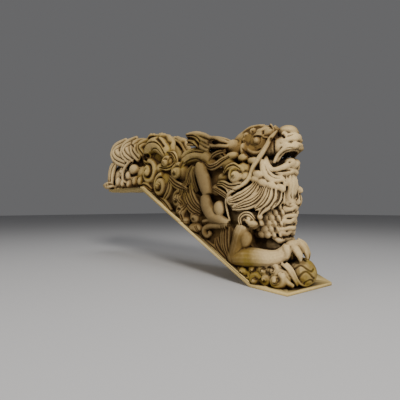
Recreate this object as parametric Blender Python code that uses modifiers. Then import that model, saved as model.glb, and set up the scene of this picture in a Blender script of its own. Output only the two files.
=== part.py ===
"""A carved stone dragon that climbs the balustrade of a stair, in two stones.

Metres, +Z up. +X is the way the head faces, and -Y is the dragon's right side. The origin is on the
underside of the lower bed, midway between its ends. The carving is drawn in metres on a stair of the
drawn sizes, and carried point by point to the same share of the stair, width and height set here.
"""

import math

import bmesh
import bpy
from mathutils import Euler, Matrix, Vector

# The stair under the dragon
RISER = 0.150
TREAD = 0.270
STEPS = 6
LOWER_BED = 0.370
UPPER_BED = 0.950

# The dragon and its slab
BODY_WIDTH = 0.567
FIGURE_HEIGHT = 1.450
SLAB = 0.025
FRONT_FLARE = 0.032
FRONT_SKEW = 0.094
CORNER_REACH = 0.560
CORNER_BACK = 0.177
UPPER_BED_WIDTH = 0.500

# The level joint between the two stones
JOINT_HEIGHT = 0.520
JOINT_GAP = 0.0003

# The sizes at which the carving is drawn
DRAWN_SLOPE = 150 / 270
DRAWN_RUN = 1.620
DRAWN_LOWER_BED = 0.370
DRAWN_UPPER_BED = 0.950
DRAWN_WIDTH = 0.567
DRAWN_HEIGHT = 1.450

# How finely the solids follow the carving
VOXEL = 0.011
TRIANGLES = 9000
BALL_SEGMENTS = 20
BALL_RINGS = 12
SPAN_STEPS = 5

BOTH = (1, -1)
RIGHT = (1,)

SLOPE = RISER / TREAD
RUN = STEPS * TREAD
RISE = STEPS * RISER
TOE = -LOWER_BED / 2
TOP_STEP = TOE - RUN
BACK_END = TOP_STEP - UPPER_BED
FAR = 4.0

balls = []
strands = {}
walls = []


def clear_scene():
    for obj in list(bpy.data.objects):
        bpy.data.objects.remove(obj, do_unlink=True)


def collection(name):
    made = bpy.data.collections.new(name)
    bpy.context.scene.collection.children.link(made)
    return made


def smooth(points, steps=SPAN_STEPS):
    """Points along a Catmull-Rom curve through these points, ends included."""
    points = [Vector(p) for p in points]
    ends = [2 * points[0] - points[1]] + points + [2 * points[-1] - points[-2]]
    found = []
    for a, b, c, d in zip(ends, ends[1:], ends[2:], ends[3:]):
        for step in range(steps):
            t = step / steps
            found.append(
                0.5 * (2 * b + (c - a) * t + (2 * a - 5 * b + 4 * c - d) * t * t
                       + (3 * b - a - 3 * c + d) * t ** 3)
            )
    found.append(points[-1])
    return found


def value_at(values, share):
    """The value at a share of the way through a list of values, or the value itself."""
    if not isinstance(values, (tuple, list)):
        return values
    place = share * (len(values) - 1)
    low = min(int(place), len(values) - 2)
    return values[low] + (values[low + 1] - values[low]) * (place - low)


def blob(x, y, z, radii, turn=0.0, tilt=0.0, yaw=0.0, sides=BOTH):
    """An ellipsoid. turn is its angle in side view, in degrees, tilt leans it and yaw turns it in plan."""
    spin = Euler((math.radians(tilt), math.radians(turn), math.radians(yaw))).to_matrix().to_4x4()
    body = Matrix.Translation((x, y, z)) @ spin @ Matrix.Diagonal((*radii, 1))
    for side in sides:
        balls.append(Matrix.Diagonal((1, side, 1, 1)) @ body)


def strand(path, y, radius, squeeze=(1, 0.7, 1), sides=BOTH, steps=SPAN_STEPS):
    """A carved strand through points of the side view, at depth y. Its radius changes along it."""
    line = smooth([Vector((x, 0, z)) for x, z in path], steps)
    last = len(line) - 1
    points = [Vector((p.x, value_at(y, i / last), p.z)) for i, p in enumerate(line)]
    radii = [value_at(radius, i / last) for i in range(len(line))]
    add_strand(points, radii, squeeze, sides)


def rod(path, radius, squeeze=(1, 1, 1), sides=BOTH):
    """A strand through points in space."""
    line = smooth(path)
    last = len(line) - 1
    add_strand(line, [value_at(radius, i / last) for i in range(len(line))], squeeze, sides)


def add_strand(points, radii, squeeze, sides):
    for side in sides:
        turned = [Vector((p.x, p.y * side, p.z)) for p in points]
        strands.setdefault(squeeze, []).append((turned, radii))


def lock(path, y, width, count, crown=0.014, root=0.6, tip=0.35, sides=BOTH):
    """A lock of hair or flame in the side view: a flat body under deep ridges, drawn in at both ends."""
    line = smooth([Vector((x, 0, z)) for x, z in path])
    last = len(line) - 1
    spreads = [width * value_at((root, 1.0, 1.0, tip), i / last) for i in range(last + 1)]
    middle = [Vector((p.x, value_at(y, i / last), p.z)) for i, p in enumerate(line)]
    add_strand(middle, [spread / 2 for spread in spreads], (1, 0.4, 1), sides)
    for number in range(count):
        place = (number - (count - 1) / 2) / max(count - 1, 1) * 2
        points = []
        for i, p in enumerate(middle):
            along = (line[min(i + 1, last)] - line[max(i - 1, 0)]).normalized()
            across = Vector((-along.z, 0, along.x)) * place * spreads[i] / 2 * (1 - 1 / max(count, 2))
            points.append(p + across - Vector((0, crown * (1 - 0.6 * place * place), 0)))
        add_strand(points, [0.53 * spread / count for spread in spreads], (1, 1.1, 1), sides)


def scroll(x, z, radius, y, turns=1.5, start=200.0, sense=1, stretch=1.0, dome=0.06, sides=BOTH):
    """A cloud volute: a broad cord winds over a dome to a knob. stretch makes it taller than wide."""
    dome = min(dome, radius * 0.7)
    blob(x, y + dome, z, (radius * 0.98, dome, radius * 0.98 * stretch), sides=sides)
    count = int(16 * turns)
    pitch = radius / (turns + 0.5)
    points = []
    for i in range(count + 1):
        share = i / count
        angle = math.radians(start) + sense * 2 * math.pi * turns * share
        reach = (radius - pitch / 2) * (1 - share)
        points.append(Vector((x + reach * math.cos(angle), y + 0.3 * dome * (1 - 2 * share),
                              z + stretch * reach * math.sin(angle))))
    add_strand(points, [0.5 * pitch] * len(points), (1, 1, 1), sides)
    blob(x, y - 0.3 * dome, z, (pitch * 0.5, pitch * 0.6, pitch * 0.5), sides=sides)


def ring(x, z, y, radius, cord):
    """A closed ring that lies in the side view."""
    turn = [2 * math.pi * i / 18 for i in range(19)]
    points = [Vector((x + radius * math.cos(a), y, z + radius * math.sin(a))) for a in turn]
    add_strand(points, [cord] * len(points), (1, 0.9, 1), BOTH)


def wall(outline, half_width):
    """A flat outline of the side view, as thick as the balustrade's core."""
    walls.append((outline, half_width))


def core():
    """The mass behind the carving, from the foot of the slope to the tail."""
    wall([(0.02, 0.0), (0.02, 0.17), (-0.03, 0.6), (-0.03, 0.95), (-0.1, 1.03), (-0.2, 1.12), (-0.45, 1.2),
          (-0.62, 1.07), (-0.93, 1.1), (-1.2, 1.1), (-1.45, 1.2), (-1.8, 1.3), (-2.1, 1.3), (-2.45, 1.28),
          (-2.62, 1.14), (-2.68, 0.9), (-1.805, 0.9), (-0.185, 0.0)], 0.1)
    wall([(-0.1, 0.01), (-0.12, 0.2), (-0.25, 0.34), (-0.22, 0.6), (-0.3, 0.98), (-0.5, 1.05), (-1.0, 1.08),
          (-1.5, 1.14), (-2.0, 1.2), (-2.5, 1.16), (-2.62, 0.91), (-1.805, 0.91), (-0.185, 0.01)], 0.165)
    wall([(-0.12, 0.01), (-0.3, 0.33), (-0.62, 0.68), (-1.0, 0.86), (-1.5, 1.0), (-2.0, 1.08),
          (-2.5, 1.06), (-2.6, 0.91), (-1.805, 0.91), (-0.185, 0.01)], 0.2)


def head():
    """Skull, cheeks and snout, with the upper jaw."""
    blob(-0.29, 0, 1.26, (0.29, 0.15, 0.18), sides=RIGHT)
    blob(-0.42, 0, 1.2, (0.19, 0.165, 0.165), sides=RIGHT)
    blob(-0.483, -0.13, 1.26, (0.075, 0.05, 0.06))
    blob(-0.27, -0.085, 1.175, (0.125, 0.085, 0.11))
    blob(-0.13, -0.05, 1.225, (0.12, 0.1, 0.115))
    blob(-0.153, -0.07, 1.33, (0.075, 0.07, 0.065))
    blob(0.025, 0.0, 1.324, (0.085, 0.095, 0.062), sides=RIGHT)
    blob(0.044, 0.0, 1.265, (0.1, 0.1, 0.055), sides=RIGHT)
    blob(-0.03, -0.075, 1.195, (0.085, 0.062, 0.075))
    blob(0.02, -0.06, 1.224, (0.08, 0.065, 0.055))
    rod([(-0.036, -0.13, 1.051), (-0.005, -0.125, 1.112), (0.035, -0.12, 1.15), (0.08, -0.1, 1.174),
         (0.119, -0.055, 1.181), (0.104, 0.0, 1.193)],
        (0.013, 0.018, 0.022, 0.022))
    rod([(-0.022, -0.105, 1.056), (0.009, -0.1, 1.105), (0.046, -0.09, 1.14), (0.085, -0.06, 1.153),
         (0.094, 0.0, 1.162)], 0.012)
    rod([(0.019, -0.115, 1.246), (0.055, -0.105, 1.233), (0.095, -0.085, 1.241), (0.121, -0.04, 1.246),
         (0.109, 0.0, 1.254)], (0.01, 0.016, 0.018))
    blob(0.047, -0.075, 1.192, (0.06, 0.05, 0.035))
    blob(0.063, -0.02, 1.202, (0.085, 0.075, 0.032))
    eye()
    nostril()


def eye():
    """The round eye in its ring, the lids, and the brow over it with its curls."""
    blob(-0.19, -0.148, 1.26, (0.034, 0.04, 0.034))
    ring(-0.188, 1.26, -0.152, 0.047, 0.0085)
    ring(-0.188, 1.26, -0.146, 0.068, 0.0105)
    rod([(-0.324, -0.145, 1.267), (-0.289, -0.155, 1.206), (-0.236, -0.16, 1.162),
         (-0.179, -0.158, 1.149), (-0.148, -0.15, 1.167), (-0.129, -0.14, 1.199)],
        (0.009, 0.018, 0.022, 0.014, 0.009))
    rod([(-0.339, -0.14, 1.247), (-0.309, -0.15, 1.187), (-0.256, -0.155, 1.138),
         (-0.192, -0.155, 1.119)], (0.009, 0.013, 0.009))
    blob(-0.103, -0.115, 1.322, (0.045, 0.034, 0.04))
    blob(-0.176, -0.122, 1.347, (0.045, 0.034, 0.026))
    blob(-0.17, -0.14, 1.307, (0.05, 0.026, 0.013))
    blob(-0.108, -0.14, 1.272, (0.03, 0.026, 0.016))
    scroll(-0.266, 1.362, 0.038, -0.128, turns=1.1, start=-40, dome=0.03)
    scroll(-0.331, 1.336, 0.034, -0.132, turns=1.1, start=-60, dome=0.03)
    scroll(-0.345, 1.293, 0.026, -0.14, turns=1.0, start=-60, dome=0.025)
    rod([(-0.131, -0.03, 1.416), (-0.086, -0.07, 1.362), (-0.058, -0.1, 1.308),
         (-0.047, -0.11, 1.261)], (0.013, 0.016, 0.012))
    rod([(-0.434, -0.1, 1.343), (-0.34, -0.1, 1.398), (-0.253, -0.08, 1.416),
         (-0.17, -0.06, 1.412)], (0.01, 0.016, 0.01))


def nostril():
    scroll(0.037, 1.291, 0.032, -0.1, turns=1.1, start=-100, dome=0.025)
    rod([(0.009, -0.09, 1.333), (0.054, -0.085, 1.334), (0.082, -0.06, 1.324), (0.083, -0.02, 1.324),
         (0.062, 0.02, 1.335)], (0.012, 0.016, 0.016))


def jaw():
    """Lower jaw with its lip and tongue, and the bands of plates under it."""
    blob(-0.13, 0, 1.02, (0.1, 0.12, 0.095), sides=RIGHT)
    blob(-0.04, 0, 0.98, (0.12, 0.12, 0.04), sides=RIGHT)
    rod([(-0.106, -0.145, 1.117), (-0.091, -0.15, 1.072), (-0.073, -0.15, 1.027),
         (-0.042, -0.145, 0.993), (0.002, -0.13, 0.993), (0.044, -0.105, 1.011), (0.062, -0.07, 1.034),
         (0.042, 0.0, 1.052)], (0.012, 0.017, 0.022, 0.028, 0.032))
    blob(0.061, -0.035, 1.052, (0.052, 0.055, 0.045))
    blob(0.06, 0.0, 1.028, (0.05, 0.06, 0.03), sides=RIGHT)
    rod([(-0.13, 0, 1.06), (-0.04, 0, 1.065), (0.02, 0, 1.06), (0.045, 0, 1.075)], (0.05, 0.04, 0.022),
         sides=RIGHT)
    rod([(-0.108, -0.16, 1.103), (-0.093, -0.168, 1.053), (-0.077, -0.17, 1.0), (-0.048, -0.165, 0.955),
         (-0.01, -0.15, 0.93), (0.027, -0.125, 0.93)],
        (0.009, 0.0125, 0.0135, 0.012))
    rod([(-0.127, -0.175, 1.081), (-0.114, -0.185, 1.019), (-0.095, -0.185, 0.961),
         (-0.056, -0.178, 0.915), (-0.014, -0.16, 0.895), (0.02, -0.13, 0.897),
         (0.045, -0.1, 0.915)], (0.02, 0.03, 0.022, 0.018))
    plates = [(-0.148, -0.205, 0.955), (-0.175, -0.205, 0.916), (-0.105, -0.2, 0.88),
              (-0.034, -0.185, 0.853), (0.032, -0.15, 0.832)]
    for place in plates:
        blob(*place, (0.052, 0.03, 0.036), turn=20)
    rod([(-0.063, -0.12, 0.975), (0.003, -0.1, 0.964), (0.056, -0.06, 0.976),
         (0.06, 0.0, 0.985)], (0.03, 0.035, 0.03))
    blob(-0.04, 0, 0.9, (0.1, 0.12, 0.09), sides=RIGHT)


def beard():
    """The tuft under the chin, drawn down and curled at its end."""
    rod([(0.054, -0.04, 0.974), (0.064, -0.05, 0.913), (0.068, -0.05, 0.853), (0.046, -0.045, 0.778),
         (0.051, -0.03, 0.727)], (0.014, 0.02, 0.022, 0.02))
    rod([(0.053, -0.012, 0.985), (0.067, -0.014, 0.915), (0.072, -0.014, 0.855), (0.053, -0.014, 0.778),
         (0.058, -0.008, 0.718)],
        (0.016, 0.024, 0.026, 0.022))
    rod([(0.03, 0.02, 0.98), (0.055, 0.022, 0.9), (0.055, 0.022, 0.83), (0.035, 0.022, 0.75),
         (0.052, 0.018, 0.7)],
        (0.016, 0.024, 0.024, 0.02), sides=RIGHT)
    blob(0.056, 0.0, 0.723, (0.03, 0.05, 0.024), sides=RIGHT)
    rod([(0.021, -0.115, 0.945), (0.042, -0.11, 0.893), (0.048, -0.108, 0.843),
         (0.027, -0.11, 0.823)], (0.01, 0.015, 0.01))
    rod([(0.043, -0.08, 0.954), (0.052, -0.08, 0.903), (0.053, -0.082, 0.852)], (0.009, 0.013, 0.009))


def whisker():
    """The long ribbon from the nose, over the cheek and down the mane."""
    rod([(-0.021, -0.095, 1.329), (-0.041, -0.12, 1.298), (-0.06, -0.15, 1.257), (-0.08, -0.172, 1.201),
         (-0.109, -0.192, 1.143), (-0.151, -0.205, 1.081), (-0.195, -0.215, 1.015),
         (-0.215, -0.225, 0.954), (-0.241, -0.24, 0.899), (-0.301, -0.252, 0.861),
         (-0.383, -0.258, 0.824), (-0.443, -0.262, 0.777), (-0.459, -0.26, 0.713),
         (-0.451, -0.252, 0.63), (-0.43, -0.242, 0.548)],
        (0.011, 0.02, 0.022, 0.022, 0.021, 0.02, 0.018, 0.015, 0.012, 0.01), (1, 0.9, 1))
    rod([(-0.476, -0.25, 0.866), (-0.444, -0.252, 0.814), (-0.411, -0.25, 0.776)], 0.01)


def cheek():
    """Plates behind the jaw, the big curl and the locks behind it."""
    for place, radii in (
        ((-0.441, -0.185, 1.152), (0.08, 0.036, 0.04)), ((-0.313, -0.195, 1.118), (0.055, 0.034, 0.038)),
        ((-0.209, -0.195, 1.083), (0.056, 0.03, 0.034)), ((-0.312, -0.2, 1.045), (0.05, 0.032, 0.03)),
        ((-0.259, -0.2, 1.015), (0.036, 0.03, 0.042)), ((-0.332, -0.165, 1.201), (0.03, 0.04, 0.06)),
    ):
        blob(*place, radii)
    scroll(-0.356, 0.964, 0.12, -0.245, turns=1.5, start=20, dome=0.07, stretch=0.85)
    lock([(-0.462, 1.144), (-0.538, 1.114), (-0.623, 1.074), (-0.712, 1.073),
          (-0.783, 1.121)], (-0.2, -0.215, -0.19), 0.075, 3, tip=0.5)
    lock([(-0.528, 1.211), (-0.617, 1.208), (-0.696, 1.183), (-0.737, 1.138)], -0.175, 0.05, 2)
    lock([(-0.308, 1.016), (-0.376, 1.054), (-0.452, 1.038), (-0.507, 0.986)], -0.24, 0.05, 2)
    lock([(-0.297, 0.876), (-0.417, 0.868), (-0.499, 0.898), (-0.582, 0.914)], (-0.235, -0.24),
          0.05, 2, root=0.9)
    lock([(-0.353, 0.824), (-0.446, 0.848), (-0.519, 0.886), (-0.592, 0.886)], (-0.235, -0.242),
          0.045, 2, root=0.9)
    lock([(-0.447, 0.764), (-0.532, 0.81), (-0.601, 0.844), (-0.646, 0.851)], (-0.235, -0.24),
          0.055, 3, root=0.9)
    blob(-0.279, -0.2, 0.943, (0.06, 0.05, 0.06))
    blob(-0.512, -0.17, 1.095, (0.09, 0.05, 0.06))
    blob(-0.545, -0.19, 0.953, (0.07, 0.04, 0.05))


def mane():
    """Long locks that fall from under the jaw, back to the shoulder."""
    lock([(-0.152, 0.882), (-0.199, 0.819), (-0.257, 0.774), (-0.339, 0.742),
          (-0.407, 0.726)], (-0.205, -0.27), 0.112, 4, tip=0.5)
    lock([(-0.082, 0.845), (-0.115, 0.769), (-0.175, 0.718), (-0.268, 0.688),
          (-0.377, 0.662)], (-0.2, -0.28), 0.1, 4, tip=0.35)
    lock([(-0.034, 0.83), (-0.044, 0.759), (-0.082, 0.696), (-0.141, 0.656)], (-0.19, -0.262),
          0.078, 3, tip=0.4)
    lock([(0.001, 0.821), (0.002, 0.75), (-0.028, 0.692), (-0.078, 0.65),
          (-0.102, 0.612)], (-0.175, -0.25), 0.06, 2, tip=0.5)
    lock([(0.035, 0.809), (0.037, 0.746), (0.016, 0.704), (-0.015, 0.659)], (-0.15, -0.21), 0.05, 2)
    lock([(0.047, 0.801), (0.047, 0.742), (0.021, 0.684)], (-0.115, -0.14), 0.034, 2)
    for x, y, z, size in ((-0.399, -0.265, 0.732, 0.042), (-0.104, -0.245, 0.593, 0.026),
                          (0.013, -0.14, 0.684, 0.018)):
        blob(x, y, z, (size, size * 0.8, size))
    blob(-0.2, -0.14, 0.8, (0.2, 0.08, 0.12))
    blob(-0.36, -0.16, 0.72, (0.14, 0.08, 0.09))


def ear_and_tuft():
    """The ear, with its hollow, and the fan of curved ribs that flies back from it."""
    lock([(-0.516, 1.29), (-0.617, 1.329), (-0.71, 1.367), (-0.779, 1.364)], (-0.14, -0.15),
          0.045, 1, tip=0.5)
    lock([(-0.499, 1.252), (-0.613, 1.269), (-0.699, 1.279), (-0.767, 1.329)], (-0.165, -0.155),
          0.045, 1, tip=0.5)
    blob(-0.692, -0.11, 1.318, (0.12, 0.04, 0.045))
    for path, width in (
        ([(-0.728, 1.366), (-0.826, 1.412), (-0.959, 1.454), (-1.108, 1.463)], 0.05),
        ([(-0.724, 1.311), (-0.829, 1.363), (-0.946, 1.418), (-1.094, 1.442)], 0.045),
        ([(-0.74, 1.272), (-0.831, 1.321), (-0.934, 1.377), (-1.097, 1.405)], 0.04),
        ([(-0.763, 1.244), (-0.855, 1.287), (-0.951, 1.339), (-1.099, 1.365)], 0.045),
    ):
        lock(path, (-0.165, -0.14), width, 1, root=0.7, tip=0.8)
    blob(-0.982, -0.1, 1.389, (0.14, 0.055, 0.06), turn=10)
    blob(-0.899, -0.07, 1.37, (0.12, 0.06, 0.07))


def chest():
    """Throat and chest, scaled at the sides, with broad plates down the front."""
    rod([(-0.15, 0, 1.0), (-0.12, 0, 0.8), (-0.095, 0, 0.62), (-0.105, 0, 0.5), (-0.14, 0, 0.41)],
        (0.15, 0.175, 0.172, 0.15, 0.1), sides=RIGHT)
    for row in range(6):
        z = 0.668 - 0.052 * row
        front = 0.07 - 0.012 * row * row / 5
        wave = 0.013 * (-1) ** row
        band = [(-0.04 - 0.003 * row, -0.12, z + 0.014), (0.005, -0.098, z - 0.01 + wave),
                (front - 0.016, -0.05, z - 0.012), (front, 0.0, z + wave), (front - 0.016, 0.05, z - 0.012),
                (0.005, 0.098, z - 0.01 + wave), (-0.04 - 0.003 * row, 0.12, z + 0.014)]
        rod(band, (0.018, 0.029, 0.031, 0.029, 0.018), (1, 1, 1), sides=RIGHT)
    for row in range(7):
        for column in range(5):
            angle = math.radians(38 + 21 * column + 10.5 * (row % 2))
            reach = 0.176 - 0.005 * row
            x = -0.1 - 0.004 * row + reach * math.cos(angle)
            blob(x, -reach * math.sin(angle), 0.725 - 0.048 * row, (0.042, 0.017, 0.034),
                 yaw=math.degrees(angle) - 90, tilt=14)


def shoulder():
    """The curled tuft on the shoulder, and the crescent beside it."""
    scroll(-0.21, 0.564, 0.085, -0.245, turns=1.0, start=190, sense=-1, dome=0.05)
    lock([(-0.289, 0.522), (-0.3, 0.575), (-0.251, 0.616), (-0.187, 0.614),
          (-0.14, 0.57)], -0.262, 0.036, 2, root=0.8, tip=0.6)
    blob(-0.169, -0.255, 0.534, (0.05, 0.035, 0.03))
    lock([(-0.126, 0.59), (-0.101, 0.536), (-0.107, 0.481), (-0.148, 0.411)], (-0.22, -0.19), 0.034, 1)


def right_arm():
    """The arm that comes down from the shoulder and reaches forward on to the ball."""
    rod([(-0.289, -0.19, 0.506), (-0.311, -0.205, 0.435), (-0.332, -0.21, 0.362), (-0.358, -0.21, 0.288),
         (-0.383, -0.2, 0.222)],
        (0.078, 0.088, 0.084, 0.08, 0.078), sides=RIGHT)
    blob(-0.261, -0.235, 0.396, (0.06, 0.05, 0.085), turn=8, sides=RIGHT)
    blob(-0.389, -0.2, 0.226, (0.09, 0.08, 0.085), sides=RIGHT)
    rod([(-0.375, -0.21, 0.219), (-0.26, -0.215, 0.239), (-0.149, -0.21, 0.244), (-0.053, -0.19, 0.244),
         (0.012, -0.155, 0.259), (0.056, -0.12, 0.303),
         (0.082, -0.1, 0.345)], (0.075, 0.086, 0.08, 0.072, 0.066, 0.055, 0.05), sides=RIGHT)
    rod([(0.044, -0.17, 0.327), (0.031, -0.19, 0.258), (-0.013, -0.18, 0.186)], (0.012, 0.02, 0.012),
         sides=RIGHT)
    rod([(0.07, -0.16, 0.32), (0.059, -0.18, 0.268), (0.028, -0.175, 0.211)], (0.012, 0.018, 0.01),
         sides=RIGHT)
    blob(0.102, -0.07, 0.352, (0.07, 0.07, 0.05), turn=-10, sides=RIGHT)
    for finger in ([(0.076, -0.13, 0.355), (0.093, -0.145, 0.317), (0.082, -0.14, 0.267),
                    (0.066, -0.13, 0.223)],
                   [(0.1, -0.1, 0.35), (0.152, -0.115, 0.332), (0.184, -0.12, 0.292),
                    (0.189, -0.11, 0.239)],
                   [(0.119, -0.05, 0.376), (0.172, -0.06, 0.353), (0.21, -0.062, 0.308),
                    (0.221, -0.055, 0.253)],
                   [(0.07, 0.05, 0.38), (0.12, 0.07, 0.35), (0.155, 0.075, 0.28), (0.16, 0.075, 0.22)]):
        rod(finger, (0.034, 0.034, 0.028, 0.01), sides=RIGHT)


def left_arm():
    """The hidden paw rests on the clouds on the far side."""
    rod([(-0.24, 0.18, 0.58), (-0.3, 0.21, 0.42), (-0.32, 0.205, 0.29)], (0.078, 0.085, 0.08), sides=RIGHT)
    rod([(-0.33, 0.2, 0.28), (-0.2, 0.215, 0.235), (-0.05, 0.205, 0.21), (0.04, 0.185, 0.17)],
        (0.075, 0.078, 0.058, 0.045), sides=RIGHT)
    for out in (0.14, 0.18, 0.22):
        rod([(0.02, out, 0.19), (0.08, out, 0.17), (0.105, out, 0.1)], (0.026, 0.022, 0.01), sides=RIGHT)


def ball():
    """The ball under the paw, with ribbons of cloud round its foot."""
    blob(0.135, 0, 0.128, (0.128, 0.128, 0.125), sides=RIGHT)
    rod([(0.063, -0.18, 0.212), (0.11, -0.185, 0.187), (0.142, -0.18, 0.143), (0.164, -0.165, 0.089),
         (0.172, -0.14, 0.047)], (0.014, 0.017, 0.017, 0.012),
        sides=RIGHT)
    rod([(0.093, -0.17, 0.223), (0.133, -0.17, 0.192), (0.16, -0.165, 0.148), (0.179, -0.145, 0.092),
         (0.194, -0.1, 0.052), (0.21, -0.03, 0.038), (0.225, 0.03, 0.067)], (0.01, 0.013, 0.013, 0.01),
         sides=RIGHT)
    rod([(0.068, -0.235, 0.148), (0.112, -0.235, 0.112), (0.145, -0.225, 0.077),
         (0.17, -0.2, 0.052)], (0.02, 0.022, 0.018), sides=RIGHT)
    blob(0.06, -0.1, 0.07, (0.11, 0.1, 0.06))


def lower_clouds():
    """The bank of cloud scrolls between the forearm and the slab."""
    rows = (
        (-0.291, 0.115, 0.075, -0.235, 150, 1), (-0.185, 0.138, 0.07, -0.225, 20, -1),
        (-0.083, 0.146, 0.072, -0.225, 40, 1), (0.007, 0.156, 0.066, -0.215, 120, -1),
        (-0.158, 0.059, 0.08, -0.245, 20, 1), (0.053, 0.084, 0.095, -0.25, 60, -1),
        (-0.058, 0.079, 0.075, -0.235, 200, 1), (-0.23, 0.073, 0.06, -0.235, 200, -1),
    )
    for x, z, size, y, start, sense in rows:
        scroll(x, z, size, y, turns=1.1, start=start, sense=sense, dome=0.055)
    blob(-0.13, -0.14, 0.11, (0.22, 0.085, 0.1))
    blob(0.03, -0.11, 0.09, (0.11, 0.09, 0.08))


def foot_of_slope():
    """Hook scroll and shell cone left of the arm, and the lump before them, in the lower stone."""
    strand([(-0.475, 0.496), (-0.586, 0.497), (-0.677, 0.493), (-0.744, 0.466), (-0.753, 0.421),
            (-0.711, 0.394), (-0.677, 0.419), (-0.696, 0.44)], -0.24,
           (0.026, 0.03, 0.026, 0.016), (1, 1, 1))
    lock([(-0.496, 0.495), (-0.502, 0.406), (-0.491, 0.314), (-0.455, 0.225)], (-0.21, -0.225),
          0.12, 4, root=0.9, tip=0.6)
    lock([(-0.627, 0.377), (-0.601, 0.312), (-0.538, 0.251), (-0.454, 0.195)], (-0.2, -0.22),
          0.09, 3, root=0.7)
    lock([(-0.856, 0.484), (-0.765, 0.349), (-0.644, 0.28), (-0.53, 0.216),
          (-0.422, 0.164)], (-0.215, -0.235), 0.06, 3, root=0.8)
    scroll(-0.885, 0.571, 0.1, -0.235, turns=1.5, start=30, dome=0.075)
    blob(-0.887, -0.23, 0.463, (0.1, 0.05, 0.05))
    blob(-1.033, -0.22, 0.525, (0.06, 0.05, 0.05))


def leg():
    """The smooth hind leg in relief, with flames behind it."""
    strand([(-0.866, 1.124), (-0.829, 1.043), (-0.781, 0.947), (-0.742, 0.865),
            (-0.713, 0.794)], (-0.205, -0.24),
           (0.045, 0.075, 0.078, 0.07, 0.05), (1, 0.75, 1))
    strand([(-0.746, 0.79), (-0.736, 0.731), (-0.708, 0.662), (-0.64, 0.594), (-0.538, 0.549),
            (-0.447, 0.525)], -0.24,
           (0.05, 0.068, 0.07, 0.055, 0.04), (1, 0.75, 1))
    blob(-0.562, -0.235, 0.663, (0.065, 0.05, 0.075))
    blob(-0.613, -0.2, 0.841, (0.075, 0.04, 0.06))
    strand([(-0.777, 0.533), (-0.682, 0.551), (-0.591, 0.544),
            (-0.479, 0.528)], -0.24, (0.02, 0.03, 0.022), (1, 1, 1))
    lock([(-0.809, 0.662), (-0.895, 0.718), (-0.963, 0.808), (-1.002, 0.931)], (-0.225, -0.2),
          0.085, 3, root=0.9)
    lock([(-0.82, 0.606), (-0.952, 0.667), (-1.036, 0.757), (-1.076, 0.87)], (-0.22, -0.205),
          0.12, 4, root=0.8)
    lock([(-0.884, 0.832), (-0.943, 0.928), (-0.966, 1.024), (-0.943, 1.106)], (-0.205, -0.185), 0.07, 3)
    lock([(-1.019, 0.9), (-1.05, 0.977), (-1.027, 1.055), (-0.973, 1.12)], -0.185, 0.07, 3)


def slope_clouds():
    """The big cloud scrolls up the slope."""
    rows = (
        (-1.394, 1.194, 0.09, -0.22, 1.4, 40, 1, 0.85), (-1.737, 1.101, 0.172, -0.205, 1.7, 100, -1, 1.08),
        (-1.481, 0.926, 0.148, -0.23, 1.7, 80, 1, 1.15), (-1.201, 1.065, 0.118, -0.22, 1.5, 60, 1, 0.95),
        (-1.165, 0.764, 0.11, -0.235, 1.5, 80, 1, 1.05), (-1.111, 0.631, 0.078, -0.25, 1.3, 200, -1, 1.15),
    )
    for x, z, size, y, turns, start, sense, stretch in rows:
        scroll(x, z, size, y, turns, start, sense, stretch, dome=0.08)
    lock([(-1.322, 1.006), (-1.235, 0.939), (-1.135, 0.895), (-1.024, 0.858)], (-0.21, -0.22),
          0.09, 3, root=0.8, tip=0.5)
    lock([(-1.537, 1.145), (-1.406, 1.121), (-1.299, 1.135),
          (-1.231, 1.195)], -0.19, 0.06, 2, root=0.6, tip=0.6)
    lock([(-1.234, 1.135), (-1.249, 1.209), (-1.303, 1.272), (-1.401, 1.307)], (-0.19, -0.17),
          0.075, 3, root=0.8)
    lock([(-1.071, 0.688), (-1.125, 0.781), (-1.103, 0.872), (-1.055, 0.955)], (-0.215, -0.2),
          0.1, 4, root=0.8)
    lock([(-1.402, 0.77), (-1.339, 0.842), (-1.313, 0.92), (-1.349, 0.99)], (-0.215, -0.2),
          0.085, 2, root=0.7)
    lock([(-1.26, 0.634), (-1.33, 0.695), (-1.401, 0.741), (-1.503, 0.784)], (-0.24, -0.215),
          0.07, 2, root=0.8)
    lock([(-1.66, 0.884), (-1.742, 0.93), (-1.826, 0.953), (-1.902, 0.944)], (-0.21, -0.2), 0.08, 2)
    lock([(-1.055, 0.507), (-1.102, 0.586), (-1.071, 0.656), (-1.008, 0.709)], (-0.235, -0.22),
          0.09, 3, root=0.8)
    blob(-1.55, -0.15, 1.132, (0.1, 0.06, 0.07))


def front_arch():
    """The first bend of the body, with its toothed fin."""
    strand([(-1.226, 1.081), (-1.151, 1.169), (-1.046, 1.211), (-0.924, 1.212), (-0.815, 1.18),
            (-0.752, 1.127), (-0.724, 1.059)], (-0.12, -0.15, -0.14),
           (0.06, 0.07, 0.072, 0.06), (1, 0.9, 1))
    strand([(-1.153, 1.106), (-1.088, 1.165), (-0.994, 1.192), (-0.889, 1.186),
            (-0.788, 1.139)], -0.185, (0.01, 0.017, 0.017, 0.012), (1, 1, 1))
    strand([(-1.26, 1.177), (-1.151, 1.251), (-1.054, 1.281), (-0.939, 1.281),
            (-0.836, 1.249)], -0.14, 0.022, (1, 1, 1))
    for place in smooth([(-1.257, -0.13, 1.187), (-1.148, -0.13, 1.267), (-1.06, -0.13, 1.293),
                         (-0.944, -0.13, 1.297), (-0.834, -0.13, 1.272), (-0.784, -0.13, 1.23)], 5):
        blob(place.x, place.y, place.z, (0.013, 0.035, 0.02))
    blob(-1.0, 0, 1.17, (0.28, 0.15, 0.11), sides=RIGHT)
    blob(-1.18, -0.07, 1.25, (0.07, 0.07, 0.06))


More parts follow.
